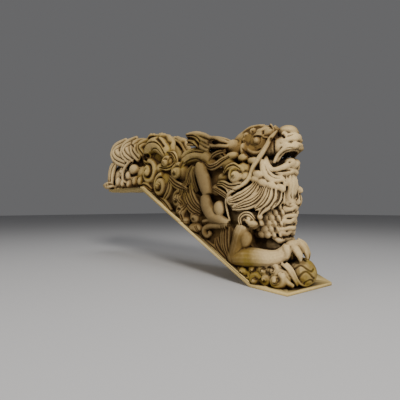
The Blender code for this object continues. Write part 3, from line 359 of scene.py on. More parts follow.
def cheek():
    """Plates behind the jaw, the big curl and the locks behind it."""
    for place, radii in (
        ((-0.441, -0.185, 1.152), (0.08, 0.036, 0.04)),
        ((-0.313, -0.195, 1.118), (0.055, 0.034, 0.038)),
        ((-0.209, -0.195, 1.083), (0.056, 0.03, 0.034)),
        ((-0.312, -0.2, 1.045), (0.05, 0.032, 0.03)),
        ((-0.259, -0.2, 1.015), (0.036, 0.03, 0.042)),
        ((-0.332, -0.165, 1.201), (0.03, 0.04, 0.06)),
    ):
        blob(*place, radii)
    scroll(-0.356, 0.964, 0.12, -0.245, turns=1.5, start=20, dome=0.07, stretch=0.85)
    lock([(-0.462, 1.144), (-0.538, 1.114), (-0.623, 1.074), (-0.712, 1.073), (-0.783, 1.121)],
         (-0.2, -0.215, -0.19), 0.075, 3, tip=0.5)
    lock([(-0.528, 1.211), (-0.617, 1.208), (-0.696, 1.183), (-0.737, 1.138)], -0.175, 0.05, 2)
    lock([(-0.308, 1.016), (-0.376, 1.054), (-0.452, 1.038), (-0.507, 0.986)], -0.24, 0.05, 2)
    lock([(-0.297, 0.876), (-0.417, 0.868), (-0.499, 0.898), (-0.582, 0.914)], (-0.235, -0.24), 0.05, 2,
         root=0.9)
    lock([(-0.353, 0.824), (-0.446, 0.848), (-0.519, 0.886), (-0.592, 0.886)], (-0.235, -0.242), 0.045, 2,
         root=0.9)
    lock([(-0.447, 0.764), (-0.532, 0.81), (-0.601, 0.844), (-0.646, 0.851)], (-0.235, -0.24), 0.055, 3,
         root=0.9)
    blob(-0.279, -0.2, 0.943, (0.06, 0.05, 0.06))
    blob(-0.512, -0.17, 1.095, (0.09, 0.05, 0.06))
    blob(-0.545, -0.19, 0.953, (0.07, 0.04, 0.05))


def mane():
    """Long locks that fall from under the jaw, back to the shoulder."""
    lock([(-0.152, 0.882), (-0.199, 0.819), (-0.257, 0.774), (-0.339, 0.742), (-0.407, 0.726)],
         (-0.205, -0.27), 0.112, 4, tip=0.5)
    lock([(-0.082, 0.845), (-0.115, 0.769), (-0.175, 0.718), (-0.268, 0.688), (-0.377, 0.662)],
         (-0.2, -0.28), 0.1, 4, tip=0.35)
    lock([(-0.034, 0.83), (-0.044, 0.759), (-0.082, 0.696), (-0.141, 0.656)], (-0.19, -0.262), 0.078, 3,
         tip=0.4)
    lock([(0.001, 0.821), (0.002, 0.75), (-0.028, 0.692), (-0.078, 0.65), (-0.102, 0.612)], (-0.175, -0.25),
          0.06, 2, tip=0.5)
    lock([(0.035, 0.809), (0.037, 0.746), (0.016, 0.704), (-0.015, 0.659)], (-0.15, -0.21), 0.05, 2)
    lock([(0.047, 0.801), (0.047, 0.742), (0.021, 0.684)], (-0.115, -0.14), 0.034, 2)
    for x, y, z, size in (
        (-0.399, -0.265, 0.732, 0.042),
        (-0.104, -0.245, 0.593, 0.026),
        (0.013, -0.14, 0.684, 0.018),
    ):
        blob(x, y, z, (size, size * 0.8, size))
    blob(-0.2, -0.14, 0.8, (0.2, 0.08, 0.12))
    blob(-0.36, -0.16, 0.72, (0.14, 0.08, 0.09))


def ear_and_tuft():
    """The ear, with its hollow, and the fan of curved ribs that flies back from it."""
    lock([(-0.516, 1.29), (-0.617, 1.329), (-0.71, 1.367), (-0.779, 1.364)], (-0.14, -0.15), 0.045, 1,
         tip=0.5)
    lock([(-0.499, 1.252), (-0.613, 1.269), (-0.699, 1.279), (-0.767, 1.329)], (-0.165, -0.155), 0.045, 1,
         tip=0.5)
    blob(-0.692, -0.11, 1.318, (0.12, 0.04, 0.045))
    for path, width in (
        ([(-0.728, 1.366), (-0.826, 1.412), (-0.959, 1.454), (-1.108, 1.463)], 0.05),
        ([(-0.724, 1.311), (-0.829, 1.363), (-0.946, 1.418), (-1.094, 1.442)], 0.045),
        ([(-0.74, 1.272), (-0.831, 1.321), (-0.934, 1.377), (-1.097, 1.405)], 0.04),
        ([(-0.763, 1.244), (-0.855, 1.287), (-0.951, 1.339), (-1.099, 1.365)], 0.045),
    ):
        lock(path, (-0.165, -0.14), width, 1, root=0.7, tip=0.8)
    blob(-0.982, -0.1, 1.389, (0.14, 0.055, 0.06), turn=10)
    blob(-0.899, -0.07, 1.37, (0.12, 0.06, 0.07))


def chest():
    """Throat and chest, scaled at the sides, with broad plates down the front."""
    rod([(-0.15, 0, 1.0), (-0.12, 0, 0.8), (-0.095, 0, 0.62), (-0.105, 0, 0.5), (-0.14, 0, 0.41)],
        (0.15, 0.175, 0.172, 0.15, 0.1), sides=RIGHT)
    for row in range(6):
        z = 0.668 - 0.052 * row
        front = 0.07 - 0.012 * row * row / 5
        wave = 0.013 * (-1) ** row
        band = [(-0.04 - 0.003 * row, -0.12, z + 0.014), (0.005, -0.098, z - 0.01 + wave),
                (front - 0.016, -0.05, z - 0.012), (front, 0.0, z + wave), (front - 0.016, 0.05, z - 0.012),
                 (0.005, 0.098, z - 0.01 + wave), (-0.04 - 0.003 * row, 0.12, z + 0.014)]
        rod(band, (0.018, 0.029, 0.031, 0.029, 0.018), (1, 1, 1), sides=RIGHT)
        seam = smooth([(x * 1.02 + 0.022, across, up + 0.026) for x, across, up in band], 12)
        carve(seam, 0.012, 0.012)
    for row in range(7):
        for column in range(5):
            angle = math.radians(38 + 21 * column + 10.5 * (row % 2))
            reach = 0.176 - 0.005 * row
            x = -0.1 - 0.004 * row + reach * math.cos(angle)
            blob(x, -reach * math.sin(angle), 0.725 - 0.048 * row, (0.042, 0.017, 0.034),
                 yaw=math.degrees(angle) - 90, tilt=14)


def shoulder():
    """The curled tuft on the shoulder, and the crescent beside it."""
    scroll(-0.21, 0.564, 0.085, -0.245, turns=1.0, start=190, sense=-1, dome=0.05)
    lock([(-0.289, 0.522), (-0.3, 0.575), (-0.251, 0.616), (-0.187, 0.614), (-0.14, 0.57)], -0.262, 0.036,
         2, root=0.8, tip=0.6)
    blob(-0.169, -0.255, 0.534, (0.05, 0.035, 0.03))
    lock([(-0.126, 0.59), (-0.101, 0.536), (-0.107, 0.481), (-0.148, 0.411)], (-0.22, -0.19), 0.034, 1)


def right_arm():
    """The arm that comes down from the shoulder and reaches forward on to the ball."""
    rod([(-0.289, -0.19, 0.506), (-0.311, -0.205, 0.435), (-0.332, -0.21, 0.362), (-0.358, -0.21, 0.288),
         (-0.383, -0.2, 0.222)], (0.078, 0.088, 0.084, 0.08, 0.078), sides=RIGHT)
    blob(-0.261, -0.235, 0.396, (0.06, 0.05, 0.085), turn=8, sides=RIGHT)
    blob(-0.389, -0.2, 0.226, (0.09, 0.08, 0.085), sides=RIGHT)
    rod([(-0.375, -0.21, 0.219), (-0.26, -0.215, 0.239), (-0.149, -0.21, 0.244), (-0.053, -0.19, 0.244),
         (0.012, -0.155, 0.259), (0.056, -0.12, 0.303), (0.082, -0.1, 0.345)],
        (0.075, 0.086, 0.08, 0.072, 0.066, 0.055, 0.05), sides=RIGHT)
    rod([(0.044, -0.17, 0.327), (0.031, -0.19, 0.258), (-0.013, -0.18, 0.186)], (0.012, 0.02, 0.012),
        sides=RIGHT)
    rod([(0.07, -0.16, 0.32), (0.059, -0.18, 0.268), (0.028, -0.175, 0.211)], (0.012, 0.018, 0.01),
        sides=RIGHT)
    blob(0.102, -0.07, 0.352, (0.07, 0.07, 0.05), turn=-10, sides=RIGHT)
    for finger in (
        [(0.076, -0.13, 0.355), (0.093, -0.145, 0.317), (0.082, -0.14, 0.267), (0.066, -0.13, 0.223)],
        [(0.1, -0.1, 0.35), (0.152, -0.115, 0.332), (0.184, -0.12, 0.292), (0.189, -0.11, 0.239)],
        [(0.119, -0.05, 0.376), (0.172, -0.06, 0.353), (0.21, -0.062, 0.308), (0.221, -0.055, 0.253)],
        [(0.07, 0.05, 0.38), (0.12, 0.07, 0.35), (0.155, 0.075, 0.28), (0.16, 0.075, 0.22)],
    ):
        rod(finger, (0.034, 0.034, 0.028, 0.01), sides=RIGHT)


def left_arm():
    """The hidden paw rests on the clouds on the far side."""
    rod([(-0.24, 0.18, 0.58), (-0.3, 0.21, 0.42), (-0.32, 0.205, 0.29)], (0.078, 0.085, 0.08), sides=RIGHT)
    rod([(-0.33, 0.2, 0.28), (-0.2, 0.215, 0.235), (-0.05, 0.205, 0.21), (0.04, 0.185, 0.17)],
        (0.075, 0.078, 0.058, 0.045), sides=RIGHT)
    for out in (0.14, 0.18, 0.22):
        rod([(0.02, out, 0.19), (0.08, out, 0.17), (0.105, out, 0.1)], (0.026, 0.022, 0.01), sides=RIGHT)


def ball():
    """The ball under the paw, with ribbons of cloud round its foot."""
    blob(0.135, 0, 0.128, (0.128, 0.128, 0.125), sides=RIGHT)
    rod([(0.063, -0.18, 0.212), (0.11, -0.185, 0.187), (0.142, -0.18, 0.143), (0.164, -0.165, 0.089),
         (0.172, -0.14, 0.047)], (0.014, 0.017, 0.017, 0.012), sides=RIGHT)
    rod([(0.093, -0.17, 0.223), (0.133, -0.17, 0.192), (0.16, -0.165, 0.148), (0.179, -0.145, 0.092),
         (0.194, -0.1, 0.052), (0.21, -0.03, 0.038), (0.225, 0.03, 0.067)], (0.01, 0.013, 0.013, 0.01),
        sides=RIGHT)
    rod([(0.068, -0.235, 0.148), (0.112, -0.235, 0.112), (0.145, -0.225, 0.077), (0.17, -0.2, 0.052)],
        (0.02, 0.022, 0.018), sides=RIGHT)
    blob(0.06, -0.1, 0.07, (0.11, 0.1, 0.06))


def lower_clouds():
    """The bank of cloud scrolls between the forearm and the slab."""
    rows = (
        (-0.291, 0.115, 0.075, -0.235, 150, 1), (-0.185, 0.138, 0.07, -0.225, 20, -1),
        (-0.083, 0.146, 0.072, -0.225, 40, 1), (0.007, 0.156, 0.066, -0.215, 120, -1),
        (-0.158, 0.059, 0.08, -0.245, 20, 1), (0.053, 0.084, 0.095, -0.25, 60, -1),
        (-0.058, 0.079, 0.075, -0.235, 200, 1), (-0.23, 0.073, 0.06, -0.235, 200, -1),
    )
    for x, z, size, y, start, sense in rows:
        scroll(x, z, size, y, turns=1.1, start=start, sense=sense, dome=0.055)
    blob(-0.13, -0.14, 0.11, (0.22, 0.085, 0.1))
    blob(0.03, -0.11, 0.09, (0.11, 0.09, 0.08))


def foot_of_slope():
    """Hook scroll and shell cone left of the arm, and the lump before them, in the lower stone."""
    strand([(-0.475, 0.496), (-0.586, 0.497), (-0.677, 0.493), (-0.744, 0.466), (-0.753, 0.421),
            (-0.711, 0.394), (-0.677, 0.419), (-0.696, 0.44)], -0.24, (0.026, 0.03, 0.026, 0.016),
           (1, 1, 1))
    lock([(-0.496, 0.495), (-0.502, 0.406), (-0.491, 0.314), (-0.455, 0.225)], (-0.21, -0.225), 0.12, 4,
         root=0.9, tip=0.6)
    lock([(-0.627, 0.377), (-0.601, 0.312), (-0.538, 0.251), (-0.454, 0.195)], (-0.2, -0.22), 0.09, 3,
         root=0.7)
    lock([(-0.856, 0.484), (-0.765, 0.349), (-0.644, 0.28), (-0.53, 0.216), (-0.422, 0.164)],
         (-0.215, -0.235), 0.06, 3, root=0.8)
    scroll(-0.885, 0.571, 0.1, -0.235, turns=1.5, start=30, dome=0.075)
    blob(-0.887, -0.23, 0.463, (0.1, 0.05, 0.05))
    blob(-1.033, -0.22, 0.525, (0.06, 0.05, 0.05))


def leg():
    """The smooth hind leg in relief, with flames behind it."""
    strand([(-0.866, 1.124), (-0.829, 1.043), (-0.781, 0.947), (-0.742, 0.865), (-0.713, 0.794)],
           (-0.205, -0.24), (0.045, 0.075, 0.078, 0.07, 0.05), (1, 0.75, 1))
    strand([(-0.746, 0.79), (-0.736, 0.731), (-0.708, 0.662), (-0.64, 0.594), (-0.538, 0.549),
            (-0.447, 0.525)], -0.24, (0.05, 0.068, 0.07, 0.055, 0.04), (1, 0.75, 1))
    blob(-0.562, -0.235, 0.663, (0.065, 0.05, 0.075))
    blob(-0.613, -0.2, 0.841, (0.075, 0.04, 0.06))
    strand([(-0.777, 0.533), (-0.682, 0.551), (-0.591, 0.544), (-0.479, 0.528)], -0.24, (0.02, 0.03, 0.022),
            (1, 1, 1))
    lock([(-0.809, 0.662), (-0.895, 0.718), (-0.963, 0.808), (-1.002, 0.931)], (-0.225, -0.2), 0.085, 3,
         root=0.9)
    lock([(-0.82, 0.606), (-0.952, 0.667), (-1.036, 0.757), (-1.076, 0.87)], (-0.22, -0.205), 0.12, 4,
         root=0.8)
    lock([(-0.884, 0.832), (-0.943, 0.928), (-0.966, 1.024), (-0.943, 1.106)], (-0.205, -0.185), 0.07, 3)
    lock([(-1.019, 0.9), (-1.05, 0.977), (-1.027, 1.055), (-0.973, 1.12)], -0.185, 0.07, 3)


def slope_clouds():
    """The big cloud scrolls up the slope."""
    rows = (
        (-1.394, 1.194, 0.09, -0.22, 1.4, 40, 1, 0.85), (-1.737, 1.101, 0.172, -0.205, 1.7, 100, -1, 1.08),
        (-1.481, 0.926, 0.148, -0.23, 1.7, 80, 1, 1.15), (-1.201, 1.065, 0.118, -0.22, 1.5, 60, 1, 0.95),
        (-1.165, 0.764, 0.11, -0.235, 1.5, 80, 1, 1.05), (-1.111, 0.631, 0.078, -0.25, 1.3, 200, -1, 1.15),
    )
    for x, z, size, y, turns, start, sense, stretch in rows:
        scroll(x, z, size, y, turns, start, sense, stretch, dome=0.08)
    lock([(-1.322, 1.006), (-1.235, 0.939), (-1.135, 0.895), (-1.024, 0.858)], (-0.21, -0.22), 0.09, 3,
         root=0.8, tip=0.5)
    lock([(-1.537, 1.145), (-1.406, 1.121), (-1.299, 1.135), (-1.231, 1.195)], -0.19, 0.06, 2, root=0.6,
         tip=0.6)
    lock([(-1.234, 1.135), (-1.249, 1.209), (-1.303, 1.272), (-1.401, 1.307)], (-0.19, -0.17), 0.075, 3,
         root=0.8)
    lock([(-1.071, 0.688), (-1.125, 0.781), (-1.103, 0.872), (-1.055, 0.955)], (-0.215, -0.2), 0.1, 4,
         root=0.8)
    lock([(-1.402, 0.77), (-1.339, 0.842), (-1.313, 0.92), (-1.349, 0.99)], (-0.215, -0.2), 0.085, 2,
         root=0.7)
    lock([(-1.26, 0.634), (-1.33, 0.695), (-1.401, 0.741), (-1.503, 0.784)], (-0.24, -0.215), 0.07, 2,
         root=0.8)
    lock([(-1.66, 0.884), (-1.742, 0.93), (-1.826, 0.953), (-1.902, 0.944)], (-0.21, -0.2), 0.08, 2)
    lock([(-1.055, 0.507), (-1.102, 0.586), (-1.071, 0.656), (-1.008, 0.709)], (-0.235, -0.22), 0.09, 3,
         root=0.8)
    blob(-1.55, -0.15, 1.132, (0.1, 0.06, 0.07))


def front_arch():
    """The first bend of the body, with its toothed fin."""
    strand([(-1.226, 1.081), (-1.151, 1.169), (-1.046, 1.211), (-0.924, 1.212), (-0.815, 1.18),
            (-0.752, 1.127), (-0.724, 1.059)], (-0.12, -0.15, -0.14), (0.06, 0.07, 0.072, 0.06),
           (1, 0.9, 1))
    strand([(-1.153, 1.106), (-1.088, 1.165), (-0.994, 1.192), (-0.889, 1.186), (-0.788, 1.139)], -0.185,
           (0.01, 0.017, 0.017, 0.012), (1, 1, 1))
    strand([(-1.26, 1.177), (-1.151, 1.251), (-1.054, 1.281), (-0.939, 1.281), (-0.836, 1.249)], -0.14,
           0.022, (1, 1, 1))
    for place in smooth([(-1.257, -0.13, 1.187), (-1.148, -0.13, 1.267), (-1.06, -0.13, 1.293),
                         (-0.944, -0.13, 1.297), (-0.834, -0.13, 1.272), (-0.784, -0.13, 1.23)], 5):
        blob(place.x, place.y, place.z, (0.013, 0.035, 0.02))
    blob(-1.0, 0, 1.17, (0.28, 0.15, 0.11), sides=RIGHT)
    blob(-1.18, -0.07, 1.25, (0.07, 0.07, 0.06))


def back_arch():
    """The second bend of the body, scaled, with a wavy fin over it."""
    strand([(-1.832, 1.295), (-1.79, 1.39), (-1.697, 1.432), (-1.578, 1.415), (-1.472, 1.337),
            (-1.407, 1.247)], (-0.14, -0.16, -0.14), (0.07, 0.1, 0.1, 0.075), (1, 0.8, 1))
    blob(-1.64, 0, 1.3, (0.24, 0.16, 0.17), sides=RIGHT)
    strand([(-1.887, 1.41), (-1.816, 1.469), (-1.718, 1.492), (-1.597, 1.479), (-1.501, 1.423),
            (-1.433, 1.343), (-1.38, 1.278)], -0.165, (0.012, 0.018, 0.018, 0.012), (1, 1, 1))
    fin = smooth([(-1.962, -0.1, 1.493), (-1.896, -0.1, 1.542), (-1.803, -0.09, 1.573),
                  (-1.669, -0.09, 1.555), (-1.551, -0.09, 1.535), (-1.457, -0.09, 1.499),
                  (-1.397, -0.1, 1.44), (-1.371, -0.1, 1.355)], 3)
    for number, place in enumerate(fin):
        bulge = 0.022 + 0.012 * math.sin(number * 1.3)
        blob(place.x, place.y - bulge, place.z - 0.01, (0.034, 0.03, 0.03 + bulge * 0.5))
    strand([(-1.95, 1.452), (-1.874, 1.518), (-1.758, 1.538), (-1.616, 1.515), (-1.5, 1.462),
            (-1.426, 1.374), (-1.389, 1.31)], -0.1, (0.025, 0.034, 0.034, 0.024), (1, 1.2, 1))
    ring(-1.821, 1.309, -0.17, 0.07, 0.016)
    ring(-1.821, 1.309, -0.15, 0.105, 0.015)


def tail():
    """The brush of the tail, the stump behind it and the low clouds of the landing."""
    for path, width, count in (
        ([(-2.324, 1.29), (-2.548, 1.385), (-2.58, 1.504), (-2.391, 1.583)], 0.2, 3),
        ([(-2.14, 1.29), (-2.301, 1.396), (-2.317, 1.504), (-2.131, 1.571)], 0.19, 3),
        ([(-2.0, 1.302), (-2.105, 1.414), (-2.087, 1.503), (-1.98, 1.534)], 0.14, 2),
        ([(-1.907, 1.346), (-1.974, 1.432), (-1.93, 1.491), (-1.822, 1.508)], 0.11, 2),
    ):
        lock(path, (-0.15, -0.175, -0.1), width, count, root=0.8, tip=0.7)
    blob(-2.24, 0, 1.36, (0.28, 0.13, 0.22), sides=RIGHT)
    blob(-2.42, 0, 1.33, (0.17, 0.13, 0.17), sides=RIGHT)
    stump = [(-2.57, 1.325), (-2.65, 1.233), (-2.677, 1.127), (-2.675, 0.969)]
    lock(stump, (-0.17, -0.19), 0.13, 3, root=0.8, tip=1.0)
    blob(-2.76, -0.15, 1.417, (0.055, 0.08, 0.045))
    blob(-2.62, 0, 1.1, (0.16, 0.16, 0.22), sides=RIGHT)
    blob(-2.72, -0.07, 1.0, (0.1, 0.08, 0.14))
    blob(-2.75, -0.06, 0.93, (0.13, 0.09, 0.04))
    blob(-2.728, -0.22, 1.006, (0.1, 0.05, 0.03), turn=-15)
    blob(-2.692, -0.2, 0.969, (0.13, 0.06, 0.035))
    scroll(-2.39, 1.156, 0.075, -0.19, turns=1.3, start=100, dome=0.06)
    lock([(-2.149, 1.281), (-2.244, 1.224), (-2.313, 1.149), (-2.307, 1.046), (-2.219, 1.001)], -0.2, 0.04,
         1, root=0.8, tip=0.7)
    blob(-2.208, -0.19, 1.1, (0.055, 0.045, 0.06))
    blob(-2.093, -0.18, 1.171, (0.09, 0.06, 0.07))
    pegs = [(-2.449, 1.029), (-2.324, 0.999), (-2.175, 0.977), (-2.038, 1.009), (-1.916, 1.001)]
    for x, z in pegs:
        blob(x, -0.2, z, (0.042, 0.045, 0.062))
    blob(-1.95, -0.1, 1.1, (0.12, 0.1, 0.12))


def engraving():
    """Lines and hollows cut into the finished forms, drawn in the side view or where they run in space."""
    for path, width, depth, low in (
        ([(-0.228, 1.301), (-0.191, 1.303), (-0.149, 1.29)], 0.01, 0.01, 0.08),
        ([(-0.136, 1.339), (-0.134, 1.314)], 0.01, 0.01, 0.05),
        ([(-0.134, 1.276), (-0.088, 1.26)], 0.008, 0.01, 0.08),
        ([(-0.321, 1.206), (-0.287, 1.152), (-0.227, 1.117), (-0.174, 1.116)], 0.009, 0.012, 0.09),
        ([(-0.374, 1.29), (-0.356, 1.231), (-0.361, 1.167)], 0.012, 0.014, 0.07),
        ([(-0.145, 1.407), (-0.103, 1.385), (-0.078, 1.356)], 0.01, 0.01, 0.0),
        ([(-0.045, 1.258), (-0.036, 1.196), (-0.041, 1.139)], 0.014, 0.016, 0.06),
        ([(0.026, 1.28), (0.047, 1.262)], 0.013, 0.016, 0.05),
        ([(-0.748, 1.327), (-0.701, 1.329), (-0.648, 1.309)], 0.026, 0.03, 0.08),
        ([(-0.733, 1.254), (-0.652, 1.248), (-0.562, 1.231)], 0.016, 0.02, 0.09),
        ([(-1.127, 1.432), (-1.0, 1.403), (-0.915, 1.346), (-0.891, 1.298)], 0.016, 0.026, 0.06),
        ([(-1.146, 1.392), (-1.006, 1.355), (-0.948, 1.308)], 0.013, 0.02, 0.06),
        ([(-1.132, 1.455), (-1.005, 1.438), (-0.914, 1.399), (-0.876, 1.353)], 0.01, 0.014, 0.04),
        ([(-1.159, 1.219), (-1.062, 1.253), (-0.954, 1.258), (-0.822, 1.233)], 0.012, 0.02, 0.06),
        ([(-1.115, 1.147), (-1.02, 1.177), (-0.906, 1.175), (-0.819, 1.132)], 0.01, 0.014, 0.08),
        ([(-1.834, 1.542), (-1.768, 1.552), (-1.696, 1.543)], 0.018, 0.024, 0.04),
        ([(-1.6, 1.51), (-1.523, 1.456), (-1.451, 1.382)], 0.02, 0.03, 0.04),
        ([(-1.837, 1.414), (-1.78, 1.448), (-1.697, 1.461), (-1.597, 1.45), (-1.527, 1.413),
          (-1.482, 1.366), (-1.437, 1.292)], 0.012, 0.016, 0.08),
        ([(-1.68, 1.361), (-1.62, 1.377), (-1.551, 1.361), (-1.505, 1.315)], 0.01, 0.01, 0.1),
        ([(-1.886, 1.311), (-1.787, 1.307)], 0.04, 0.05, 0.05),
        ([(-2.204, 1.553), (-2.11, 1.488), (-2.07, 1.459)], 0.016, 0.024, 0.05),
        ([(-2.851, 1.345), (-2.719, 1.337), (-2.592, 1.306)], 0.012, 0.016, 0.03),
    ):
        engrave(smooth([(x, 0, z) for x, z in path], 8), width, depth, low)
    for path, width, depth in (
        ([(0.071, -0.1, 1.271), (0.09, -0.085, 1.276), (0.108, -0.05, 1.28), (0.114, 0.0, 1.284)], 0.012,
         0.014),
        ([(-0.016, -0.13, 1.108), (0.022, -0.13, 1.153), (0.072, -0.12, 1.162), (0.107, -0.1, 1.165),
          (0.133, -0.03, 1.17), (0.135, 0.0, 1.172)], 0.008, 0.01),
        ([(0.084, -0.085, 1.051), (0.109, -0.08, 1.056)], 0.014, 0.016),
        ([(-0.021, -0.14, 0.978), (0.047, -0.11, 0.977), (0.093, -0.06, 0.987), (0.107, 0.0, 0.994)], 0.014,
          0.018),
    ):
        carve(smooth(path, 8), width, depth)
    for lift, sway in BALL_LINES:
        places = []
        for step in range(13):
            around = math.radians(-150 + 12 * step)
            up = lift + sway * math.sin(step * 0.9 + 3 * lift)
            reach = Vector((math.cos(around) * math.cos(up), math.sin(around) * math.cos(up), math.sin(up)))
            places.append(Vector(BALL_PLACE) + reach * BALL_RADIUS)
        carve(smooth(places, 4), 0.014, 0.008)


def joined(meshes):
    work = bmesh.new()
    for mesh in meshes:
        work.from_mesh(mesh)
        bpy.data.meshes.remove(mesh)
    result = bpy.data.meshes.new("joined")
    work.to_mesh(result)
    work.free()
    return result


def ball_mesh():
    """Every ellipsoid, each a copy of one unit sphere."""
    work = bmesh.new()
    bmesh.ops.create_uvsphere(work, u_segments=BALL_SEGMENTS, v_segments=BALL_RINGS, radius=1)
    unit = bpy.data.meshes.new("unit_ball")
    work.to_mesh(unit)
    work.free()
    copies = []
    for matrix in balls:
        copy = unit.copy()
        copy.transform(matrix)
        if matrix.determinant() < 0:
            copy.flip_normals()
        copies.append(copy)
    bpy.data.meshes.remove(unit)
    return joined(copies)


def curve_mesh(curve):
    """The mesh of a curve, with its caps welded on."""
    holder = bpy.data.objects.new("guide", curve)
    bpy.context.scene.collection.objects.link(holder)
    graph = bpy.context.evaluated_depsgraph_get()
    mesh = bpy.data.meshes.new_from_object(holder.evaluated_get(graph))
    bpy.data.objects.remove(holder)
    work = bmesh.new()
    work.from_mesh(mesh)
    bmesh.ops.remove_doubles(work, verts=work.verts, dist=0.00001)
    work.to_mesh(mesh)
    work.free()
    return mesh


def strand_mesh(squeeze, members):
    """Strands that are all flattened alike: drawn round and stretched, then squeezed."""
    curve = bpy.data.curves.new("strands", "CURVE")
    curve.dimensions = "3D"
    curve.bevel_depth = 1.0
    curve.bevel_resolution = 5
    curve.use_fill_caps = True
    for points, radii in members:
        spline = curve.splines.new("POLY")
        spline.points.add(len(points) - 1)
        for place, point, radius in zip(spline.points, points, radii):
            place.co = (point.x / squeeze[0], point.y / squeeze[1], point.z / squeeze[2], 1)
            place.radius = radius
    mesh = curve_mesh(curve)
    mesh.transform(Matrix.Diagonal((*squeeze, 1)))
    return mesh


def outline_mesh(outline, half_width, standing=True):
    """A closed outline made as thick as twice half_width, standing in the side view or lying in plan."""
    curve = bpy.data.curves.new("outline", "CURVE")
    curve.dimensions = "2D"
    curve.fill_mode = "BOTH"
    curve.extrude = half_width
    spline = curve.splines.new("POLY")
    spline.points.add(len(outline) - 1)
    for place, (across, up) in zip(spline.points, outline):
        place.co = (across, up, 0, 1)
    spline.use_cyclic_u = True
    mesh = curve_mesh(curve)
    if standing:
        mesh.transform(Matrix.Rotation(math.radians(90), 4, "X"))
    return mesh


def box_mesh(low, high):
    work = bmesh.new()
    low, high = Vector(low), Vector(high)
    matrix = Matrix.Translation((low + high) / 2) @ Matrix.Diagonal((*(high - low), 1))
    bmesh.ops.create_cube(work, size=1, matrix=matrix)
    mesh = bpy.data.meshes.new("box")
    work.to_mesh(mesh)
    work.free()
    return mesh


def largest_body(mesh):
    """Keeps the largest body of a mesh, without hollows sealed inside it or loose crumbs."""
    ends = edge_ends(mesh)
    label = np.arange(len(mesh.vertices))
    while True:
        low = np.minimum(label[ends[:, 0]], label[ends[:, 1]])
        new = label.copy()
        np.minimum.at(new, ends[:, 0], low)
        np.minimum.at(new, ends[:, 1], low)
        new = new[new]
        if (new == label).all():
            break
        label = new
    keep = np.bincount(label).argmax()
    work = bmesh.new()
    work.from_mesh(mesh)
    crumbs = [vert for vert, own in zip(work.verts, label) if own != keep]
    bmesh.ops.delete(work, geom=crumbs, context="VERTS")
    work.to_mesh(mesh)
    work.free()


def evaluated(obj):
    """Replaces an object's mesh by the one that its modifiers make."""
    graph = bpy.context.evaluated_depsgraph_get()
    mesh = bpy.data.meshes.new_from_object(obj.evaluated_get(graph))
    obj.modifiers.clear()
    obj.data = mesh


def placed(name, mesh):
    obj = bpy.data.objects.new(name, mesh)
    bpy.context.scene.collection.objects.link(obj)
    return obj


def boolean(obj, mesh, operation):
    other = placed("cutter", mesh)
    step = obj.modifiers.new(operation.lower(), "BOOLEAN")
    step.object = other
    step.operation = operation
    step.solver = "MANIFOLD"
    evaluated(obj)
    bpy.data.objects.remove(other)


def reduced(obj, triangles):
    have = sum(len(face.vertices) - 2 for face in obj.data.polygons)
    if have > triangles:
        step = obj.modifiers.new("reduce", "DECIMATE")
        step.ratio = triangles / have
        step.use_collapse_triangulate = True
        evaluated(obj)


def slab_mesh():
    """The sloping slab between the lower and the upper bed, square at its two sides."""
    drop = SLAB * math.hypot(1, SLOPE)
    outline = [(0.0, 0.0), (0.0, SLAB), (TOE + (drop - SLAB) / SLOPE, SLAB), (TOP_STEP, RISE + drop),
               (TOP_STEP, RISE), (TOE, 0.0)]
    return outline_mesh(outline, BODY_WIDTH / 2)


def landing_mesh():
    """The floor slab round the ball, skewed at its front and drawn out at its far corner."""
    side = BODY_WIDTH / 2
    front = LOWER_BED / 2
    outline = [(TOE, -side), (front, -side - FRONT_FLARE), (front + FRONT_SKEW, side - FRONT_FLARE / 3),
               (front - CORNER_BACK, CORNER_REACH), (TOE, side)]
    mesh = outline_mesh(outline, SLAB / 2, standing=False)
    mesh.transform(Matrix.Translation((0, 0, SLAB / 2)))
    return mesh


def upper_bed_mesh():
    low = (BACK_END + 0.12, -UPPER_BED_WIDTH / 2, RISE)
    return box_mesh(low, (TOP_STEP + 0.02, UPPER_BED_WIDTH / 2, RISE + SLAB))


def coordinates(mesh, kind="co"):
    found = np.empty(len(mesh.vertices) * 3, np.float32)
    if kind == "co":
        mesh.vertices.foreach_get("co", found)
    else:
        mesh.vertex_normals.foreach_get("vector", found)
    return found.reshape(-1, 3).astype(np.float64)


def move(mesh, places):
    mesh.vertices.foreach_set("co", places.astype(np.float32).ravel())
    mesh.update()


def edge_ends(mesh):
    found = np.empty(len(mesh.edges) * 2, np.int64)
    mesh.edges.foreach_get("vertices", found)
    return found.reshape(-1, 2)


def store(mesh, name, values):
    """Keeps a value for each vertex, for the material to read."""
    layer = mesh.attributes.new(name, "FLOAT", "POINT")
    layer.data.foreach_set("value", values.astype(np.float32))


def dense(points, gap):
    """The points of a line, with more between them where two are further apart than the gap."""
    found = [points[0]]
    for start, end in zip(points, points[1:]):
        count = int((end - start).length / gap) + 1
        found += [start.lerp(end, step / count) for step in range(1, count + 1)]
    return found


def held_in(mesh, box):
    """Moves what stands proud of the box of the solids back on to its faces."""
    move(mesh, np.clip(coordinates(mesh), box[0], box[1]))


def engrave(points, width, depth, low):
    """A line drawn in the side view, cut into whatever faces the side there, outside the depth low."""
    flat = [Vector((point.x, 0, point.z)) for point in points]
    lines.append((dense(flat, width * 0.3), width, depth, low))


def carve(points, width, depth):
    """A line cut where it runs in space."""
    grooves.append((dense(points, width * 0.3), width, depth))


